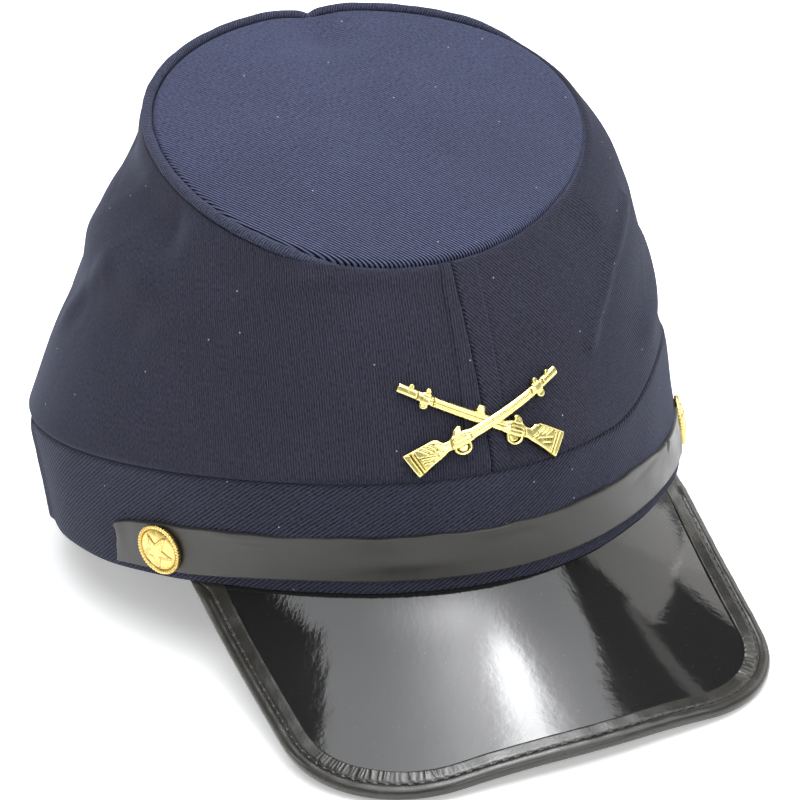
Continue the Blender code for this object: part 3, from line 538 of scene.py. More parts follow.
def out_from_band(plan):
    """For points in plan: the turn of the nearest point of the band's lower edge, by eight
    Newton steps, the distance out from it, and the direction straight out."""
    turn = np.arctan2(plan[..., 0] / HALF_WIDTH, -plan[..., 1] / HALF_LENGTH)
    for _ in range(8):
        before, edge, after = (band_outline(turn + step, 0)[..., :2] for step in (-1e-3, 0, 1e-3))
        slope, bend, offset = (after - before) / 2e-3, (after - 2 * edge + before) / 1e-6, plan - edge
        turn = turn + ((offset * slope).sum(axis=-1)
                       / ((slope ** 2).sum(axis=-1) - (offset * bend).sum(axis=-1)))
        turn = np.clip(turn, -1.7, 1.7)
    normal = unit(together(slope[..., 1], -slope[..., 0]))
    return turn, (offset * normal).sum(axis=-1), normal


def peak_top(plan):
    """The peak's upper face over points in plan, and the direction square to it. It starts
    1 mm inside the band's edge, just under it, falls evenly outwards, and is hollowed by an
    exponential run-in less a straight line."""
    turn, distance, normal = out_from_band(plan)
    far = np.maximum(distance, -1)
    hollow = PEAK_SAG * ((1 - np.exp(-far / SAG_START)) - far / SAG_END)
    height = band_outline(turn, 0)[..., 2] - 0.35 - PEAK_FALL * far - hollow
    tilt = PEAK_FALL + PEAK_SAG * (np.exp(-far / SAG_START) / SAG_START - 1 / SAG_END)
    tilt = tilt * np.clip(distance + 1.5, 0, 1)
    square = unit(together(normal[..., 0] * tilt, normal[..., 1] * tilt, 1))
    return together(plan[..., 0], plan[..., 1], height), square


def along_line(place, length, points):
    """The flat points at places along a line, given the length along it of its points."""
    return together(*(np.interp(place, length, points[:, k]) for k in (0, 1)))


def rounded_path(corners, clear):
    """The outline through the corners, each rounded by an arc, as points 0.25 mm apart over
    the part more than "clear" out from the band, the directions inwards and the distances
    along."""
    places = np.array([corner[1:3] for corner in corners])
    path = [places[:1]]
    for before, here, after, corner in zip(places, places[1:], places[2:], corners[1:]):
        first, last = unit(before - here), unit(after - here)
        half = np.arccos(first @ last) / 2
        centre = here + unit(first + last) * corner[3] / sin(half)
        start = here + first * corner[3] / tan(half) - centre
        end = here + last * corner[3] / tan(half) - centre
        sweep, share = pi - 2 * half, np.linspace(0, 1, 80)[:, None]
        path.append(centre + (np.sin((1 - share) * sweep) * start + np.sin(share * sweep) * end) / sin(sweep))
    rough = np.vstack(path + [places[-1:]])
    length = arc_length(rough, 0)
    path = along_line(np.linspace(0, length[-1], int(length[-1] / 0.25)), length, rough)
    path = path[np.nonzero(out_from_band(path)[1] > clear)[0]]
    along = unit(np.gradient(path, axis=0))
    return path, together(-along[:, 1], along[:, 0]), arc_length(path, 0)


def gloss_vinyl():
    """Polished black vinyl: two sizes of faint waves, stronger by the band where the sheet
    is bent, and a little fine dust."""
    black = (0.014, 0.014, 0.014, 1)
    material, tree, shader = plain_finish("gloss_black_vinyl", Base_Color=black, Roughness=0.055, IOR=1.52)
    flat = node(tree, "UVMap", uv_map="cloth")
    near = node(tree, "Attribute", out=2, attribute_name="near_band")
    peel = maths("MULTIPLY", noise(flat, 620, Roughness=0.6), maths("MULTIPLY_ADD", near, 0.55, 0.22))
    height = maths("MULTIPLY_ADD", noise(flat, 110), 0.9, peel)
    raise_surface(shader, 1, 0.00004, height)
    dust = mapped(noise(flat, 1500, 1), 0.74, 0.8)
    mix_colour(shader, dust, black, (0.1, 0.1, 0.1, 1))
    return material


path, inward, length = rounded_path(PEAK_CORNERS, 0.4)
place = np.linspace(0, length[-1], 420)
edge_line = along_line(place, length, path)
turn, distance, normal = out_from_band(edge_line)
start = band_outline(turn, 0)[..., :2]
share = np.linspace(0, 1, 64)[:, None]
upper = [(start - normal * tuck)[None] for tuck in (2.2, 1, 0.4)]
upper, square = peak_top(np.vstack(upper + [start + (edge_line - start) * share[..., None]]))
share = np.vstack([[[0]] * 3, share])
wave = 0.07 * np.sin(place / 14 + 1.2) * smooth(share * 2) + 0.02 * np.sin(place / 5.2) * share
upper += square * wave[..., None]
back = np.linspace(len(upper) - 1, 0, 10).astype(int)
rows = np.vstack([upper, (upper - square * PEAK_THICK)[back]])
cloth = together(place[None], share * distance)
near_band = np.exp(-share * distance / 6)
peak = grid_piece("peak_sheet", rows, gloss_vinyl(), np.vstack([cloth, cloth[back], cloth[:1]]) * 0.001,
                  marks={"near_band": np.vstack([near_band, near_band[back]])})
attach(peak, "root")
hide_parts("peak")


# ---- peak binding
# A strip of thinner black vinyl folded over the peak's edge round a soft core, and sewn
# through with black thread. It is gathered on the inside of both front corners.

FLAP = ((5.28, 0.02), (5.31, 0.18), (5.25, 0.34), (5.08, 0.43), (4.7, 0.46), (4.3, 0.46), (3.9, 0.46),
        (3.5, 0.46), (3.15, 0.46), (2.8, 0.46), (2.5, 0.45), (2.3, 0.41), (2.15, 0.33), (1.95, 0.29))
UNDERSIDE = ((0.3, -2.15), (1.6, -2.12), (3, -2.1), (4.5, -2.1), (5.2, -2), (5.25, -1.7),
             (0.1, -1.7), (0.1, 0.04))  # both are (inset from the edge, up) in mm
GATHERS = (
    # middle along the edge (share), half length, tallest, apart
    (0.33, 23, 0.2, 1.1),
    (0.715, 13, 0.42, 2.1),
)
BINDING_INSET, SEAM_INSET = 5.3, 2.05
STITCH_PITCH, HALF_STITCH = 2.9, 1.05


def binding_point(place, inset, up):
    """A point of the binding: so far along the outline, in from it and up from the peak.
    Insets shrink where the outline runs in to the band."""
    path, inward, length = binding_line
    inset = np.where(inset > 0, inset * np.interp(place, length, room), inset)
    plan = along_line(place, length, path) + unit(along_line(place, length, inward)) * inset[..., None]
    face, square = peak_top(plan)
    squeeze = 0.3 + 0.7 * smooth((out_from_band(plan)[1] - 0.3) / 3)
    return face + square * np.where(up > 0, up * squeeze, up)[..., None]


def soft_vinyl(name, colour, roughness, grain):
    """Satin vinyl: a fine pebble, rubs that vary its shine, and a paler colour where marked,
    which is partly wear and partly a painted highlight.
    """
    material, tree, shader = plain_finish(name, Roughness=roughness, IOR=1.5)
    flat = node(tree, "UVMap", uv_map="cloth")
    broad = noise(flat, 90, 3)
    # The marked paler colour: partly wear, partly a painted highlight.
    wear_and_painted_light = node(tree, "Attribute", out=2, attribute_name="wear_and_painted_light")
    tint = node(tree, "VectorMath", {0: colour, "Scale": mapped(broad, 0.3, 0.7, 0.82, 1.2)},
                operation="SCALE")
    mix_colour(shader, wear_and_painted_light, tint, tuple(3 * v for v in colour) + (1,))
    gloss = mapped(broad, 0.3, 0.7, roughness - 0.07, roughness + 0.09)
    tree.links.new(gloss, shader.inputs["Roughness"])
    raise_surface(shader, 1, grain, maths("MULTIPLY_ADD", broad, 2.5, noise(flat, 1600)))
    return material


def islands(name, blocks, finish):
    """One mesh of many closed lumps: each block is a stack of rings of points, and a fan
    closes each end."""
    many, rings, sides = blocks.shape[:3]
    index = np.arange(many * rings * sides).reshape(many, rings, sides)
    after = np.roll(index, -1, axis=2)
    faces = together(index[:, :-1], after[:, :-1], after[:, 1:], index[:, 1:]).reshape(-1, 4).tolist()
    points = blocks.reshape(-1, 3)
    for ring, first, second in ((0, after, index), (-1, index, after)):
        middle = len(points) + np.arange(many)[:, None]
        faces += together(middle, first[:, ring], second[:, ring]).reshape(-1, 3).tolist()
        points = np.vstack([points, blocks[:, ring].mean(axis=1)])
    return closed_piece(name, points, faces, finish)


binding_line = rounded_path(PEAK_CORNERS, -1.6)
widths = np.linspace(0, BINDING_INSET, 33)
line = binding_line[0][None] + binding_line[1][None] * widths[:, None, None]
room = np.where(out_from_band(line)[1] > -1.6, widths[:, None], 0).max(axis=0) / BINDING_INSET
edge = binding_line[2][-1]
place = np.linspace(0, edge, 1600)
curl = np.radians(np.linspace(138, -70, 30))
roll = together(0.55 - 1.6 * np.sign(np.cos(curl)) * np.abs(np.cos(curl)) ** 0.87,
                -0.72 + 1.52 * np.sign(np.sin(curl)) * np.abs(np.sin(curl)) ** 0.87)
section = np.vstack([FLAP, roll, UNDERSIDE])
across, high = section[:, :1], section[:, 1:]
inset, up = across + 0 * place, high + 0 * place
number = np.arange(len(section))[:, None]
outer, folded = number < len(FLAP) + 20, number < len(FLAP) + 30
dice = np.random.default_rng(7)
pucker = np.zeros_like(up)
for middle, half, tallest, apart in GATHERS:
    for at in np.arange(-half, half, apart):
        at = at + dice.normal(0, 0.23 * apart)
        lean, size, width = dice.normal(0, 0.22), dice.uniform(0.2, 1), apart * dice.uniform(0.25, 0.48)
        off = place - edge * middle - at - lean * (inset - 3.6)
        pucker += tallest * size * (1 - (at / half) ** 2) * hump(off, width)
fade = smooth((inset - 2.2) / 0.7) * smooth((5.9 - inset) / 0.7)
ripples = 0.1 * np.sin(place / 3.1 + 2 * np.sin(place / 17)) + 0.07 * np.sin(place / 1.23)
corner_tip = 0.15 * hump(place / edge - 0.325, 0.04) * np.maximum(inset - 2.4, 0) * smooth(high / 0.3)
at_left = smooth((place / edge - 0.72) / 0.08)
lean_in = 0.2 * at_left * np.clip(4.9 - inset, 0, 2.7) * np.clip((high + 2.15) / 2.3, 0, 1) * folded
up += outer * (pucker * fade * 0.8 + ripples * 0.35 + corner_tip) + lean_in
off_stitch = (place + 0.5 * STITCH_PITCH) % STITCH_PITCH - 0.5 * STITCH_PITCH
up -= outer * 0.1 * ((np.abs(off_stitch) < 0.45) * hump(across - SEAM_INSET, 0.3))
girth = arc_length(np.vstack([section, section[:1]]), 0)
# Paler on raised gathers, as rubbed wear, and in a band along the roll's outer edge, which is partly wear and
# partly a painted highlight.
wear_and_painted_light = np.clip(outer * (0.1 * hump(across + 0.2, 0.8) + 0.12 * np.maximum(pucker, 0) * fade), 0, 1)
binding = grid_piece("binding", binding_point(place, inset, up),
                     soft_vinyl("binding_vinyl", (0.024, 0.023, 0.02), 0.22, 0.00004),
                     together(place[None], girth[:, None]) * 0.001, marks={"wear_and_painted_light": wear_and_painted_light})
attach(binding, "root")
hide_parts("peak_binding")

centres = np.arange(4, edge - 4, STITCH_PITCH)[:, None, None]
along = (HALF_STITCH * np.array([-1, -0.86, -0.4, 0.4, 0.86, 1]))[None, :, None]
girth = (0.14 * np.array([0.2, 0.75, 1, 1, 0.75, 0.2]))[None, :, None]
spin = circle(8)[None, None, :]
raised = 0.54 * smooth(((centres + along) / edge - 0.72) / 0.08)
blocks = np.broadcast_arrays(centres + along, SEAM_INSET + 0.07 * along / HALF_STITCH + girth * np.cos(spin),
                             0.37 - 0.2 * (along / HALF_STITCH) ** 2 + girth * np.sin(spin) + raised)
thread, tree, shader = plain_finish("black_thread", Base_Color=(0.01, 0.01, 0.011, 1),
                                    Roughness=0.42, Sheen_Weight=0.15)
place = node(tree, "TexCoord", out=3)
raise_surface(shader, 0.8, 0.00005, node(tree, "TexWave", {"Vector": place, "Scale": 420, "Distortion": 1}))
stitches = islands("binding_stitches", binding_point(*blocks), thread)
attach(stitches, "root")


# ---- chin strap
# A strip of satin black vinyl cut with scissors, lying round the front of the band. A
# button holds it near each end, where the cut end shows, and it is bent slack in places.

STRAP_WIDTH = 11.5
FRONT_RADIUS, END_RADIUS = 92, 82  # mm of strap to a radian
STRAP_SLACK = (
    # turn (deg), half width (deg), upper edge, lower edge
    (-78, 10, 5, 1.6),
    (-60, 13, 0, 1.1),
    (52, 11, 1.8, 0),
    (72, 9, 1.8, 1.1),
)
STRAP_CREASES = (
    # turn (deg), height, lean (mm up per mm along), half length, half width, height
    (-47.5, 13.6, -0.05, 6, 0.45, 0.3),
    (-45, 12.4, -0.04, 5, 0.45, 0.22),
    (-46, 13, -0.05, 7, 0.35, -0.28),
    (-20, 8, 0.03, 16, 2.2, 0.22),
    (47.8, 12.6, 2.2, 1.6, 0.5, -0.55),
    (49, 12.9, 2.8, 1.6, 0.55, 0.35),
    (38, 12.8, 0.1, 9, 0.9, -0.22),
    (60, 6, 0.6, 7, 1.2, 0.3),
    (8, 11.5, -0.02, 20, 1.6, -0.16),
)


def strap_edges(turn):
    """The heights of the strap's two edges over the band's lower edge."""
    low, high = 3.5 + 0 * turn, 3.5 + STRAP_WIDTH + 0 * turn
    for at, width, upper, lower in STRAP_SLACK:
        slack = hump(turn - radians(at), radians(width))
        low, high = low - lower * slack, high - upper * slack
    return low, high


corner = np.linspace(0, pi / 2, 5)
cut_edge = 0.28 * (1 - np.cos(corner)) / STRAP_WIDTH
across = np.hstack([cut_edge, np.linspace(0.05, 0.95, 22), 1 - cut_edge[::-1]])
thick = 0.3 + 0.9 * np.sin(np.hstack([corner, np.full(22, pi / 2), corner[::-1]]))
back = across[::-4]
outer = np.hstack([0 * thick + 1, 0 * back])[:, None]
thick, across = np.hstack([thick, 0 * back])[:, None], np.hstack([across, back])[:, None]
turn = np.linspace(radians(-70.2), radians(70), 560)[None, :]
near_end = smooth((np.abs(turn) - radians(66.5)) / radians(3.7))
cut = 0.55 * np.sin(across * 7 + 0.6) + 0.35 * np.sin(across * 17) - 4.5 * (across - 0.5)
turn = turn - np.sign(turn) * near_end * (0.7 - 0.5 * cut) / END_RADIUS
low, high = strap_edges(turn)
tremble = 0.12 * np.sin(turn * 21 + 0.7) + 0.08 * np.sin(turn * 47)
height = low + (high - low + tremble) * across
lift = 0.18 * np.sin(turn * 16 + 2 * across) * across + 0.35 * near_end * (0.4 + across) * (turn < 0)
for at, middle, slope, length, width, tall in STRAP_CREASES:
    x, y = (turn - radians(at)) * FRONT_RADIUS, height - middle
    size = (1 + slope ** 2) ** 0.5
    lift += tall * hump((x + slope * y) / size, length) * hump((y - slope * x) / size, width)
lift = np.maximum(lift, -0.25) * (0.3 + 0.7 * outer)
tight = 0.55 + 0.35 * smooth((turn - radians(54)) / radians(8))
rows = band_outline(turn, height, 0.3 - tight + thick + lift)
girth = arc_length(np.hstack([across, thick / STRAP_WIDTH]), 0)[:, None] * STRAP_WIDTH
cloth = together(turn * FRONT_RADIUS, girth)
# Paler along both long edges: partly rubbed wear, partly a painted edge highlight.
wear_and_painted_light = 0.3 * (hump(across, 0.02) + hump(across - 1, 0.02)) * outer + 0 * turn
strap = grid_piece("strap", rows, soft_vinyl("strap_vinyl", (0.021, 0.02, 0.0175), 0.36, 0.00003),
                   np.vstack([cloth, cloth[:1]]) * 0.001, marks={"wear_and_painted_light": wear_and_painted_light})
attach(strap, "root")
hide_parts("chin_strap")


# ---- strap buttons
# Two stamped gilt buttons, each domed inside a milled rim and stamped with a five-pointed
# star. A shank passes through strap and band to a small keeper washer.

BUTTON_SCALE = 1.07  # mm for each unit of the pattern


def gilt(name, colour, roughness):
    """Polished gilt: noise varies its shine, and marked places are mixed towards brown-black
    as painted shade.
    """
    material, tree, shader = plain_finish(name, Metallic=1, Roughness=roughness)
    grain = noise(node(tree, "TexCoord", out=3), 900, 3)
    tree.links.new(mapped(grain, 0.35, 0.65, roughness - 0.06, roughness + 0.1), shader.inputs["Roughness"])
    # The mark mixes the gilt towards brown-black: painted shade.
    painted_shade_mask = node(tree, "Attribute", out=2, attribute_name="wear_and_painted_light")
    mix_colour(shader, painted_shade_mask, colour, (0.2, 0.12, 0.015, 1))
    raise_surface(shader, 0.6, 0.00003, grain)
    return material


def button(name, place, tilt, stand):
    """A button on the strap, standing so far out from it: a height for every radius and
    angle, closed round the back by the shank and the keeper."""
    at = radians(place)
    middle = sum(strap_edges(np.array(at))) / 2
    place = band_outline(at, middle)
    along = band_outline(at + 1e-3, middle) - band_outline(at - 1e-3, middle)
    outward = unit(np.cross(along, band_outline(at, middle + 1) - band_outline(at, middle - 1)))
    upward = unit(np.array([0, 0, 1]) - outward * outward[2])
    rightward = np.cross(upward, outward)
    angle = circle(288)[None, :]
    radius = np.hstack([np.linspace(0.15, 5.2, 52), np.linspace(5.28, 6.3, 14)])[:, None]
    x, y = radius * np.sin(angle), radius * np.cos(angle)
    dome = 1 + 1.15 * (1 - np.minimum(radius / 5.25, 1) ** 2) ** 0.9 + 0 * angle
    tips = radians(tilt) + np.arange(10) * pi / 5
    reach = np.where(np.arange(10) % 2 == 0, 4.35, 1.75)
    tx, ty = reach * np.sin(tips), reach * np.cos(tips)
    edge = np.min([near_line(x, y, tx[k], ty[k], tx[k - 1], ty[k - 1]) for k in range(10)], axis=0)
    spine = np.min([near_line(x, y, 0, 0, tx[k], ty[k]) for k in range(0, 10, 2)], axis=0)
    within = np.cos((angle - radians(tilt)) * 5) * 1.3 + 3.05 > radius
    star = hump(edge, 0.2) * 0.16 + within * (0.1 * hump(spine, 0.45) + 0.05)
    lobes = 0.5 + 0.5 * np.cos(48 * angle + 2.4 * (radius - 5.8))
    ring = smooth((radius - 5.35) / 0.25) * smooth((6.42 - radius) / 0.3)
    high = dome + star + ring * (0.22 + 0.2 * lobes) - 0.16 * hump(radius - 5.28, 0.12)
    # Painted shade beside the star's edges, in the groove inside the rim, between the milled lobes and over
    # the outer part of the dome.
    painted_shade = 0.75 * hump(edge - 0.26, 0.1) + 0.7 * hump(radius - 5.27, 0.13) + 0.45 * ring * (1 - lobes) ** 2
    painted_shade = np.clip(painted_shade + 0.35 * smooth((radius - 4.2) / 1.1) * (radius < 5.4), 0, 0.9)
    back = np.array([(6.4, 0.75), (6.42, 0.35), (6.3, 0.05), (5.6, 0), (1.3, 0), (1.3, -4.5),
                     (3.2, -4.5), (3.2, -5.3), (0.4, -5.3)])
    radii = np.vstack([radius + 0 * angle, back[:, :1] - (back[:, :1] > 6) * 0.14 * (1 - lobes[-1:])])
    radii, high = BUTTON_SCALE * radii, np.vstack([high, back[:, 1:] + 0 * angle])
    rows = (place + rightward * (radii * np.sin(angle))[..., None]
            + upward * (radii * np.cos(angle))[..., None] + outward * (stand + high)[..., None])
    # The button's back is painted in shade as well.
    painted_shade = np.vstack([painted_shade, np.full((len(back), 288), 0.35)])
    piece = grid_piece(name, rows, brass, wrap=True, capped=True, marks={"wear_and_painted_light": painted_shade})
    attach(piece, "root")
    return piece


brass = gilt("button_gilt", (0.86, 0.63, 0.22, 1), 0.25)
right_button = button("button_right", -60.7, -30, 1.1)
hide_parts("strap_button_right")
left_button = button("button_left", 66.2, 12, 0)
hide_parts("strap_button_left")


# ---- crossed-rifle badge
# A gilt casting of two crossed rifles in relief, on the front seam of the crown. Two headed
# pins hold it through the cloth. The rifle on top points to the wearer's upper left.

BADGE_RISE = 0.27
RIFLE = (
    # station, upper, lower, relief, squareness
    (0, 1.2, 1.2, 1.2, 2.2),
    (1.9, 1.2, 1.2, 1.3, 2.2),
    (5.6, 1.15, 1.2, 1.35, 2.2),
    (6.2, 1.55, 1.6, 1.6, 2.4),  # barrel band
    (7.9, 1.6, 1.65, 1.6, 2.4),
    (8.3, 1.15, 1.35, 1.45, 2.2),
    (18, 1.3, 1.45, 1.55, 2.2),
    (27, 1.4, 1.55, 1.6, 2.4),
    (28.6, 1.9, 1.8, 1.75, 3),  # lock
    (31.6, 1.95, 1.8, 1.75, 3),
    (32.8, 1.3, 1.4, 1.6, 2.6),  # wrist of the stock
    (34, 1.35, 1.45, 1.6, 2.8),
    (34.9, 2.6, 1.7, 1.6, 3.4),  # comb
    (36, 3.05, 2.05, 1.65, 4),
    (38, 2.95, 2.55, 1.65, 4.5),
    (42.6, 2.5, 4, 1.6, 5),
    (43, 2.45, 4.1, 1.55, 5),  # butt
)
ENGRAVING = (
    # station0, off0, station1, off1, depth, half width; off is up from the barrel's middle
    (8.6, -0.15, 27.5, -0.2, 0.28, 0.16),  # between barrel and stock
    (41.4, 2, 41.5, -3.2, 0.42, 0.2),  # butt plate
    (40.6, 1.7, 40.7, -2.7, 0.36, 0.16),
    (36.6, -0.9, 40.4, 0.2, 0.3, 0.15),  # scrolls on the stock
    (38.2, -1.6, 40.2, -1.2, 0.3, 0.16),
    (36, 0.6, 37.2, 2.3, 0.3, 0.13),  # fan of lines on the comb
    (37.1, 0.6, 38.4, 2.35, 0.3, 0.13),
    (38.2, 0.6, 39.4, 2.2, 0.3, 0.13),
    (35.2, -0.5, 36.2, 0.3, 0.26, 0.14),
    (29, 0.3, 31.8, 0.3, 0.26, 0.15),  # lock plate
    (29, -0.7, 31.8, -0.6, 0.22, 0.15),
    (5, 0.9, 5.1, -0.9, 0.3, 0.18),  # beside the band
    (9, 0.9, 9.1, -0.9, 0.3, 0.18),
    (32.4, 0.9, 32.8, -0.9, 0.28, 0.16),
)
RIFLES = (
    # name, muzzle across, muzzle up, direction, mirrored, lift
    ("rifle_under", -21.2, 9.2, -28, 1, 0),
    ("rifle_over", 19.8, 6, -158.6, -1, 0.35),
)
FITTINGS = (
    # name, relief, outline as (station, off) points
    ("front sight", 1.55, ((2.3, 0.9), (2.4, 1.6), (2.8, 1.95), (3.3, 1.9), (3.6, 1.4), (3.6, 0.9))),
    ("band screw", 1.7, ((6.4, 1.2), (6.3, 1.9), (6.7, 2.45), (7.3, 2.45), (7.7, 1.9), (7.6, 1.2))),
    ("swivel", 1.45, ((6, -1.3), (6.1, -2.2), (6.7, -2.75), (7.5, -2.75), (8.1, -2.2), (8.1, -1.3))),
    ("rear sight", 1.6, ((19.3, 0.9), (19.1, 1.5), (19.4, 3), (21.1, 3), (21.4, 1.7), (21.7, 0.9))),
    ("hammer", 1.75, ((28.8, 1.2), (29.2, 2), (28.6, 2.8), (29.3, 3.45), (30.8, 2.9), (31.5, 1.8),
                      (31.4, 1.2))),
    ("inside the guard", 0.8, ((29, -1.4), (29.3, -2.5), (30.3, -3.2), (31.4, -2.6), (31.9, -1.4))),
)


def badge_point(across, up, lift):
    """A point of the badge's flat pattern in mm, laid on the plain front of the crown."""
    turn, rise = across / BADGE_ARC, BADGE_RISE + up / RISE_MM * BADGE_STRETCH
    along = side_point(turn + 1e-3, rise, False) - side_point(turn - 1e-3, rise, False)
    upward = side_point(turn, rise + 1e-3, False) - side_point(turn, rise - 1e-3, False)
    return side_point(turn, rise, False) + unit(np.cross(along, upward)) * (0.45 + lift)[..., None]


def on_rifle(rifle, station, off, relief):
    """A point of a rifle: so far back from its muzzle, up from its barrel's middle and out
    from its flat back."""
    name, across, up, direction, mirrored, lift = rifle
    c, s = cos(radians(direction)), sin(radians(direction))
    off = off * mirrored
    return badge_point(across + station * c - off * s, up + station * s + off * c, lift + relief)


step = np.array([-0.01, 0.01])
sideways = np.diff(side_point(step, BADGE_RISE + 0 * step, False), axis=0)
upwards = np.diff(side_point(0 * step, BADGE_RISE + step, False), axis=0)
BADGE_ARC, BADGE_STRETCH = np.linalg.norm(sideways) / 0.02, RISE_MM * 0.02 / np.linalg.norm(upwards)
gold = gilt("badge_gilt", (0.92, 0.8, 0.31, 1), 0.2)
station = np.linspace(0, 43, 300)
wide = np.sin(np.linspace(-pi / 2, pi / 2, 31))[:, None]
upper, lower, relief, square = (np.interp(station, *np.array(RIFLE)[:, (0, k)].T) for k in (1, 2, 3, 4))
off = wide * np.where(wide > 0, upper, lower)
swell = (1 - np.abs(wide) ** square) ** (1 / square)
swell = relief * (0.3 + 0.7 * (swell * smooth(np.minimum(station + 0.25, 43.25 - station) / 0.5)))
groove = np.zeros_like(off)
for s0, o0, s1, o1, depth, width in ENGRAVING:
    groove = np.maximum(groove, depth * hump(near_line(station, off, s0, o0, s1, o1), width))
# Painted shade in the engraved grooves and along the rifles' edges.
painted_shade = np.clip(groove * 3.2 + 0.85 * smooth((np.abs(wide) - 0.9) / 0.06), 0, 1)
tip = station + 0.16 * (off + 0.9) * smooth((station - 37) / 6)
blocks, guards, pins, gilded = [], [], [], []
swing = np.radians(np.linspace(165, 375, 26))[:, None]
spin = circle(10)[None, :]
reach = 1.85 + 0.36 * np.cos(spin)
for rifle in RIFLES:
    rows = np.vstack([on_rifle(rifle, tip, off, swell - groove),
                      on_rifle(rifle, tip[::-6], off[::-6], 0 * off[::-6])])
    # The rifles' flat backs are painted in shade.
    gilded.append(grid_piece(rifle[0], rows, gold, marks={"wear_and_painted_light": np.vstack([painted_shade, 0 * off[::-6] + 0.5])}))
    for name, tall, shape in FITTINGS:
        if name == "rear sight" and rifle[0] == "rifle_over":
            continue
        corners = np.array(shape + shape[:1])
        length = arc_length(corners, 0)
        ring = along_line(np.linspace(0, length[-1], 28, endpoint=False), length, corners)
        ring = (np.roll(ring, 1, axis=0) + 2 * ring + np.roll(ring, -1, axis=0)) / 4
        middle = ring.mean(axis=0)
        stack = middle + (ring - middle) * np.array([1, 1, 0.93, 0.8, 0.45])[:, None, None]
        high = tall * np.array([0, 0.62, 0.88, 1, 0.97])[:, None]
        blocks.append(on_rifle(rifle, stack[..., 0], stack[..., 1], high))
    guards.append(on_rifle(rifle, 30.5 + reach * np.cos(swing), -1.75 + 0.95 * reach * np.sin(swing),
                           0.95 + 0.5 * np.sin(spin)))
for across, up in ((-9, -3.5), (5.7, -5.1)):
    ring = circle(16)[None, :]
    size, deep = np.array([(0.8, 0.8), (0.8, -3.05), (2.2, -3.05), (2.2, -3.75)]).T[..., None]
    pins.append(badge_point(across + size * np.cos(ring), up + size * np.sin(ring), deep))
gilded += [islands(name, np.array(lumps), gold) for name, lumps in
           (("badge_fittings", blocks), ("trigger_guards", guards), ("badge_pins", pins))]
for piece in gilded:
    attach(piece, "root")
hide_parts("badge")


# ---- floor, light and camera
# A plain near-white floor, soft studio light from overhead and behind, and a camera at a
# low height in front, to the wearer's right.

CEILING = 1.6
COOL_WHITE = (0.97, 0.98, 1, 1)
HOT_PLACES = (
    # x, y, turn (deg), half width, half length, strength
    (0.44, 0.5, -17, 0.075, 0.3, 18),
    (0.29, 0.44, -25, 0.24, 0.48, 5.5),
    (0.06, 0.02, 0, 0.3, 0.26, 5.5),
)

scene = bpy.context.scene
scene.view_settings.view_transform = "Standard"
bpy.ops.mesh.primitive_grid_add(x_subdivisions=4, y_subdivisions=4, size=8)
floor = bpy.context.object
floor.name = "floor"
material, tree, shader = plain_finish("floor_paper", Roughness=0.9, Specular_IOR_Level=0.1,
                                      Emission_Color=(1, 1, 1, 1), Emission_Strength=0.32)
tone = mapped(noise(node(tree, "TexCoord", out=3), 6), 0, 1, 0.96, 0.98)
tree.links.new(node(tree, "CombineColor", {0: tone, 1: tone, 2: tone}), shader.inputs["Base Color"])
floor.data.materials.append(material)

world = bpy.data.worlds.new("studio")
scene.world = world
world.use_nodes = True
tree = world.node_tree
rise = node(tree, "SeparateXYZ", {0: node(tree, "TexCoord")}, 2)
glow = mapped(rise, 0.12, 0.42, 0.68, 0.42, interpolation_type="SMOOTHSTEP")
tree.links.new(glow, tree.nodes["Background"].inputs["Strength"])
tree.nodes["Background"].inputs["Color"].default_value = COOL_WHITE


def canopy_light():
    """The glow of a white cloth ceiling lit from behind: even between soft straight edges,
    with hot places whose light falls off as humps in two directions."""
    material = bpy.data.materials.new("canopy_cloth")
    material.use_nodes = True
    tree = material.node_tree
    tree.nodes.remove(tree.nodes["Principled BSDF"])
    place = node(tree, "TexCoord", out=3)

    def edge(x, y, facing, soft):
        """1 past a line through (x, y) in a direction in degrees, and 0 before it."""
        c, s = cos(radians(facing)), sin(radians(facing))
        return mapped(vectors("DOT_PRODUCT", place, (c, s, 0)),
                      x * c + y * s - soft, x * c + y * s + soft, interpolation_type="SMOOTHSTEP")

    corner = maths("MAXIMUM", edge(-0.245, 0.78, -37.5, 0.02), edge(-0.56, 0.49, -70, 0.02))
    glow = maths("MULTIPLY", corner, 3.1)
    for side in ((0.925, 0.51, -156.6, 0.03), (-1, 0, 0, 0.2), (0, -1.1, 90, 0.2), (0, 1.3, -90, 0.2)):
        glow = maths("MULTIPLY", glow, edge(*side))
    for x, y, turn, wide, long, power in HOT_PLACES:
        values = {"Vector": vectors("SUBTRACT", place, (x, y, CEILING)), "Angle": radians(-turn)}
        turned = node(tree, "VectorRotate", values, rotation_type="Z_AXIS")
        turned = vectors("MULTIPLY", turned, (1 / wide, 1 / long, 0))
        far = maths("MULTIPLY", vectors("DOT_PRODUCT", turned, turned), -1)
        glow = maths("MULTIPLY_ADD", maths("EXPONENT", far), power, glow)
    light = node(tree, "Emission", {"Color": COOL_WHITE, "Strength": glow})
    tree.links.new(light, tree.nodes["Material Output"].inputs["Surface"])
    return material


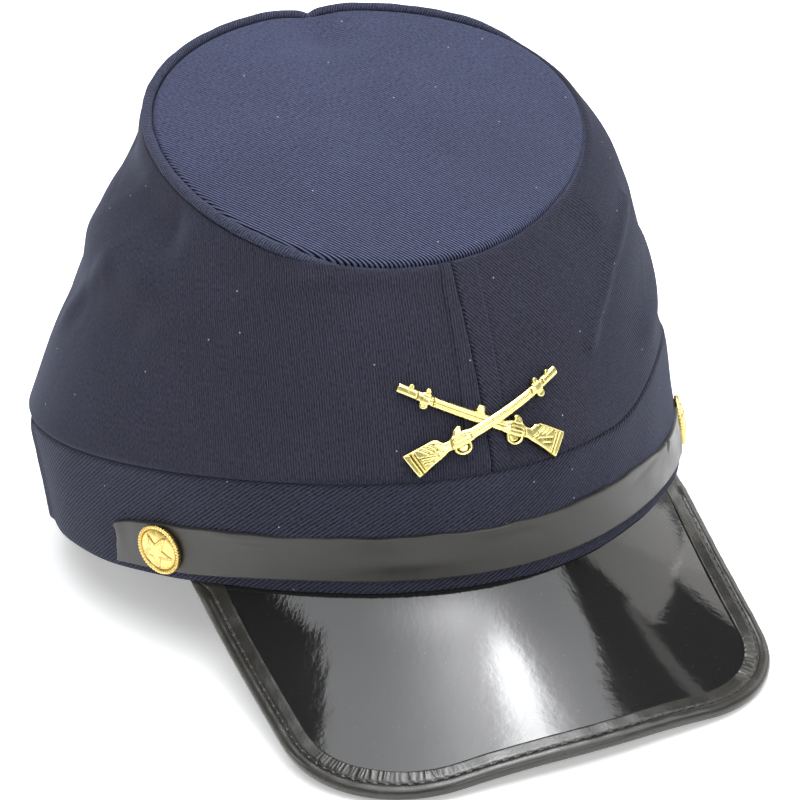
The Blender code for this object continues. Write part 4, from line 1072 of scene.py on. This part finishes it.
sheet = bpy.data.meshes.new("canopy")
sheet.from_pydata([(x, y, CEILING) for x, y in ((-1.6, -1.6), (-1.6, 1.8), (2.3, 1.8), (2.3, -1.6))],
                  [], [(0, 1, 2, 3)])
sheet.materials.append(canopy_light())
canopy = bpy.data.objects.new("canopy", sheet)
scene.collection.objects.link(canopy)
canopy.visible_camera = False


def towards(azimuth, elevation):
    """The direction at an azimuth from +Y round to +X and an elevation, both in degrees."""
    a, e = radians(azimuth), radians(elevation)
    return Vector((sin(a) * cos(e), cos(a) * cos(e), sin(e)))


def softbox(name, azimuth, elevation, distance, width, height, radiance):
    """A rectangular soft light in a direction from the hat, facing it, whose power is pi
    times its area times the radiance."""
    lamp = bpy.data.lights.new(name, "AREA")
    lamp.shape, lamp.size, lamp.size_y = "RECTANGLE", width, height
    lamp.energy, lamp.color = pi * width * height * radiance, (1, 0.99, 0.95)
    holder = bpy.data.objects.new(name, lamp)
    scene.collection.objects.link(holder)
    away = towards(azimuth, elevation)
    holder.location = away * distance + Vector((0, -0.1, 0.03))
    holder.rotation_euler = away.to_track_quat("Z", "Y").to_euler()
    holder.visible_camera = False


softbox("right", 73.5, 32, 2.2, 1.1, 1.07, 1.6)
softbox("back_right", 49, 23.5, 2.2, 0.6, 0.64, 1.7)
softbox("back_right_strip", 51.5, 44.6, 2.2, 0.5, 0.1, 0.8)
softbox("left", -105, 28, 2.2, 1.4, 0.9, 0.25)
softbox("front", 168, 28.5, 2.6, 1.25, 1.25, 3.2)
softbox("back_left", -28, 13, 2.2, 1.1, 0.5, 0.9)
softbox("left_edge", -57, 30, 2.2, 0.32, 1.6, 3)

camera = bpy.data.objects.new("camera", bpy.data.cameras.new("camera"))
scene.collection.objects.link(camera)
camera.data.sensor_width, camera.data.lens, camera.data.clip_start = 36, 111.84, 0.01
camera.rotation_mode = "QUATERNION"
camera.rotation_quaternion = (towards(199.574, 23.049).to_track_quat("Z", "Y")
                              @ Matrix.Rotation(radians(-5.789), 3, "Z").to_quaternion())
camera.location = (-0.2017, -0.58225, 0.30403)
scene.camera = camera
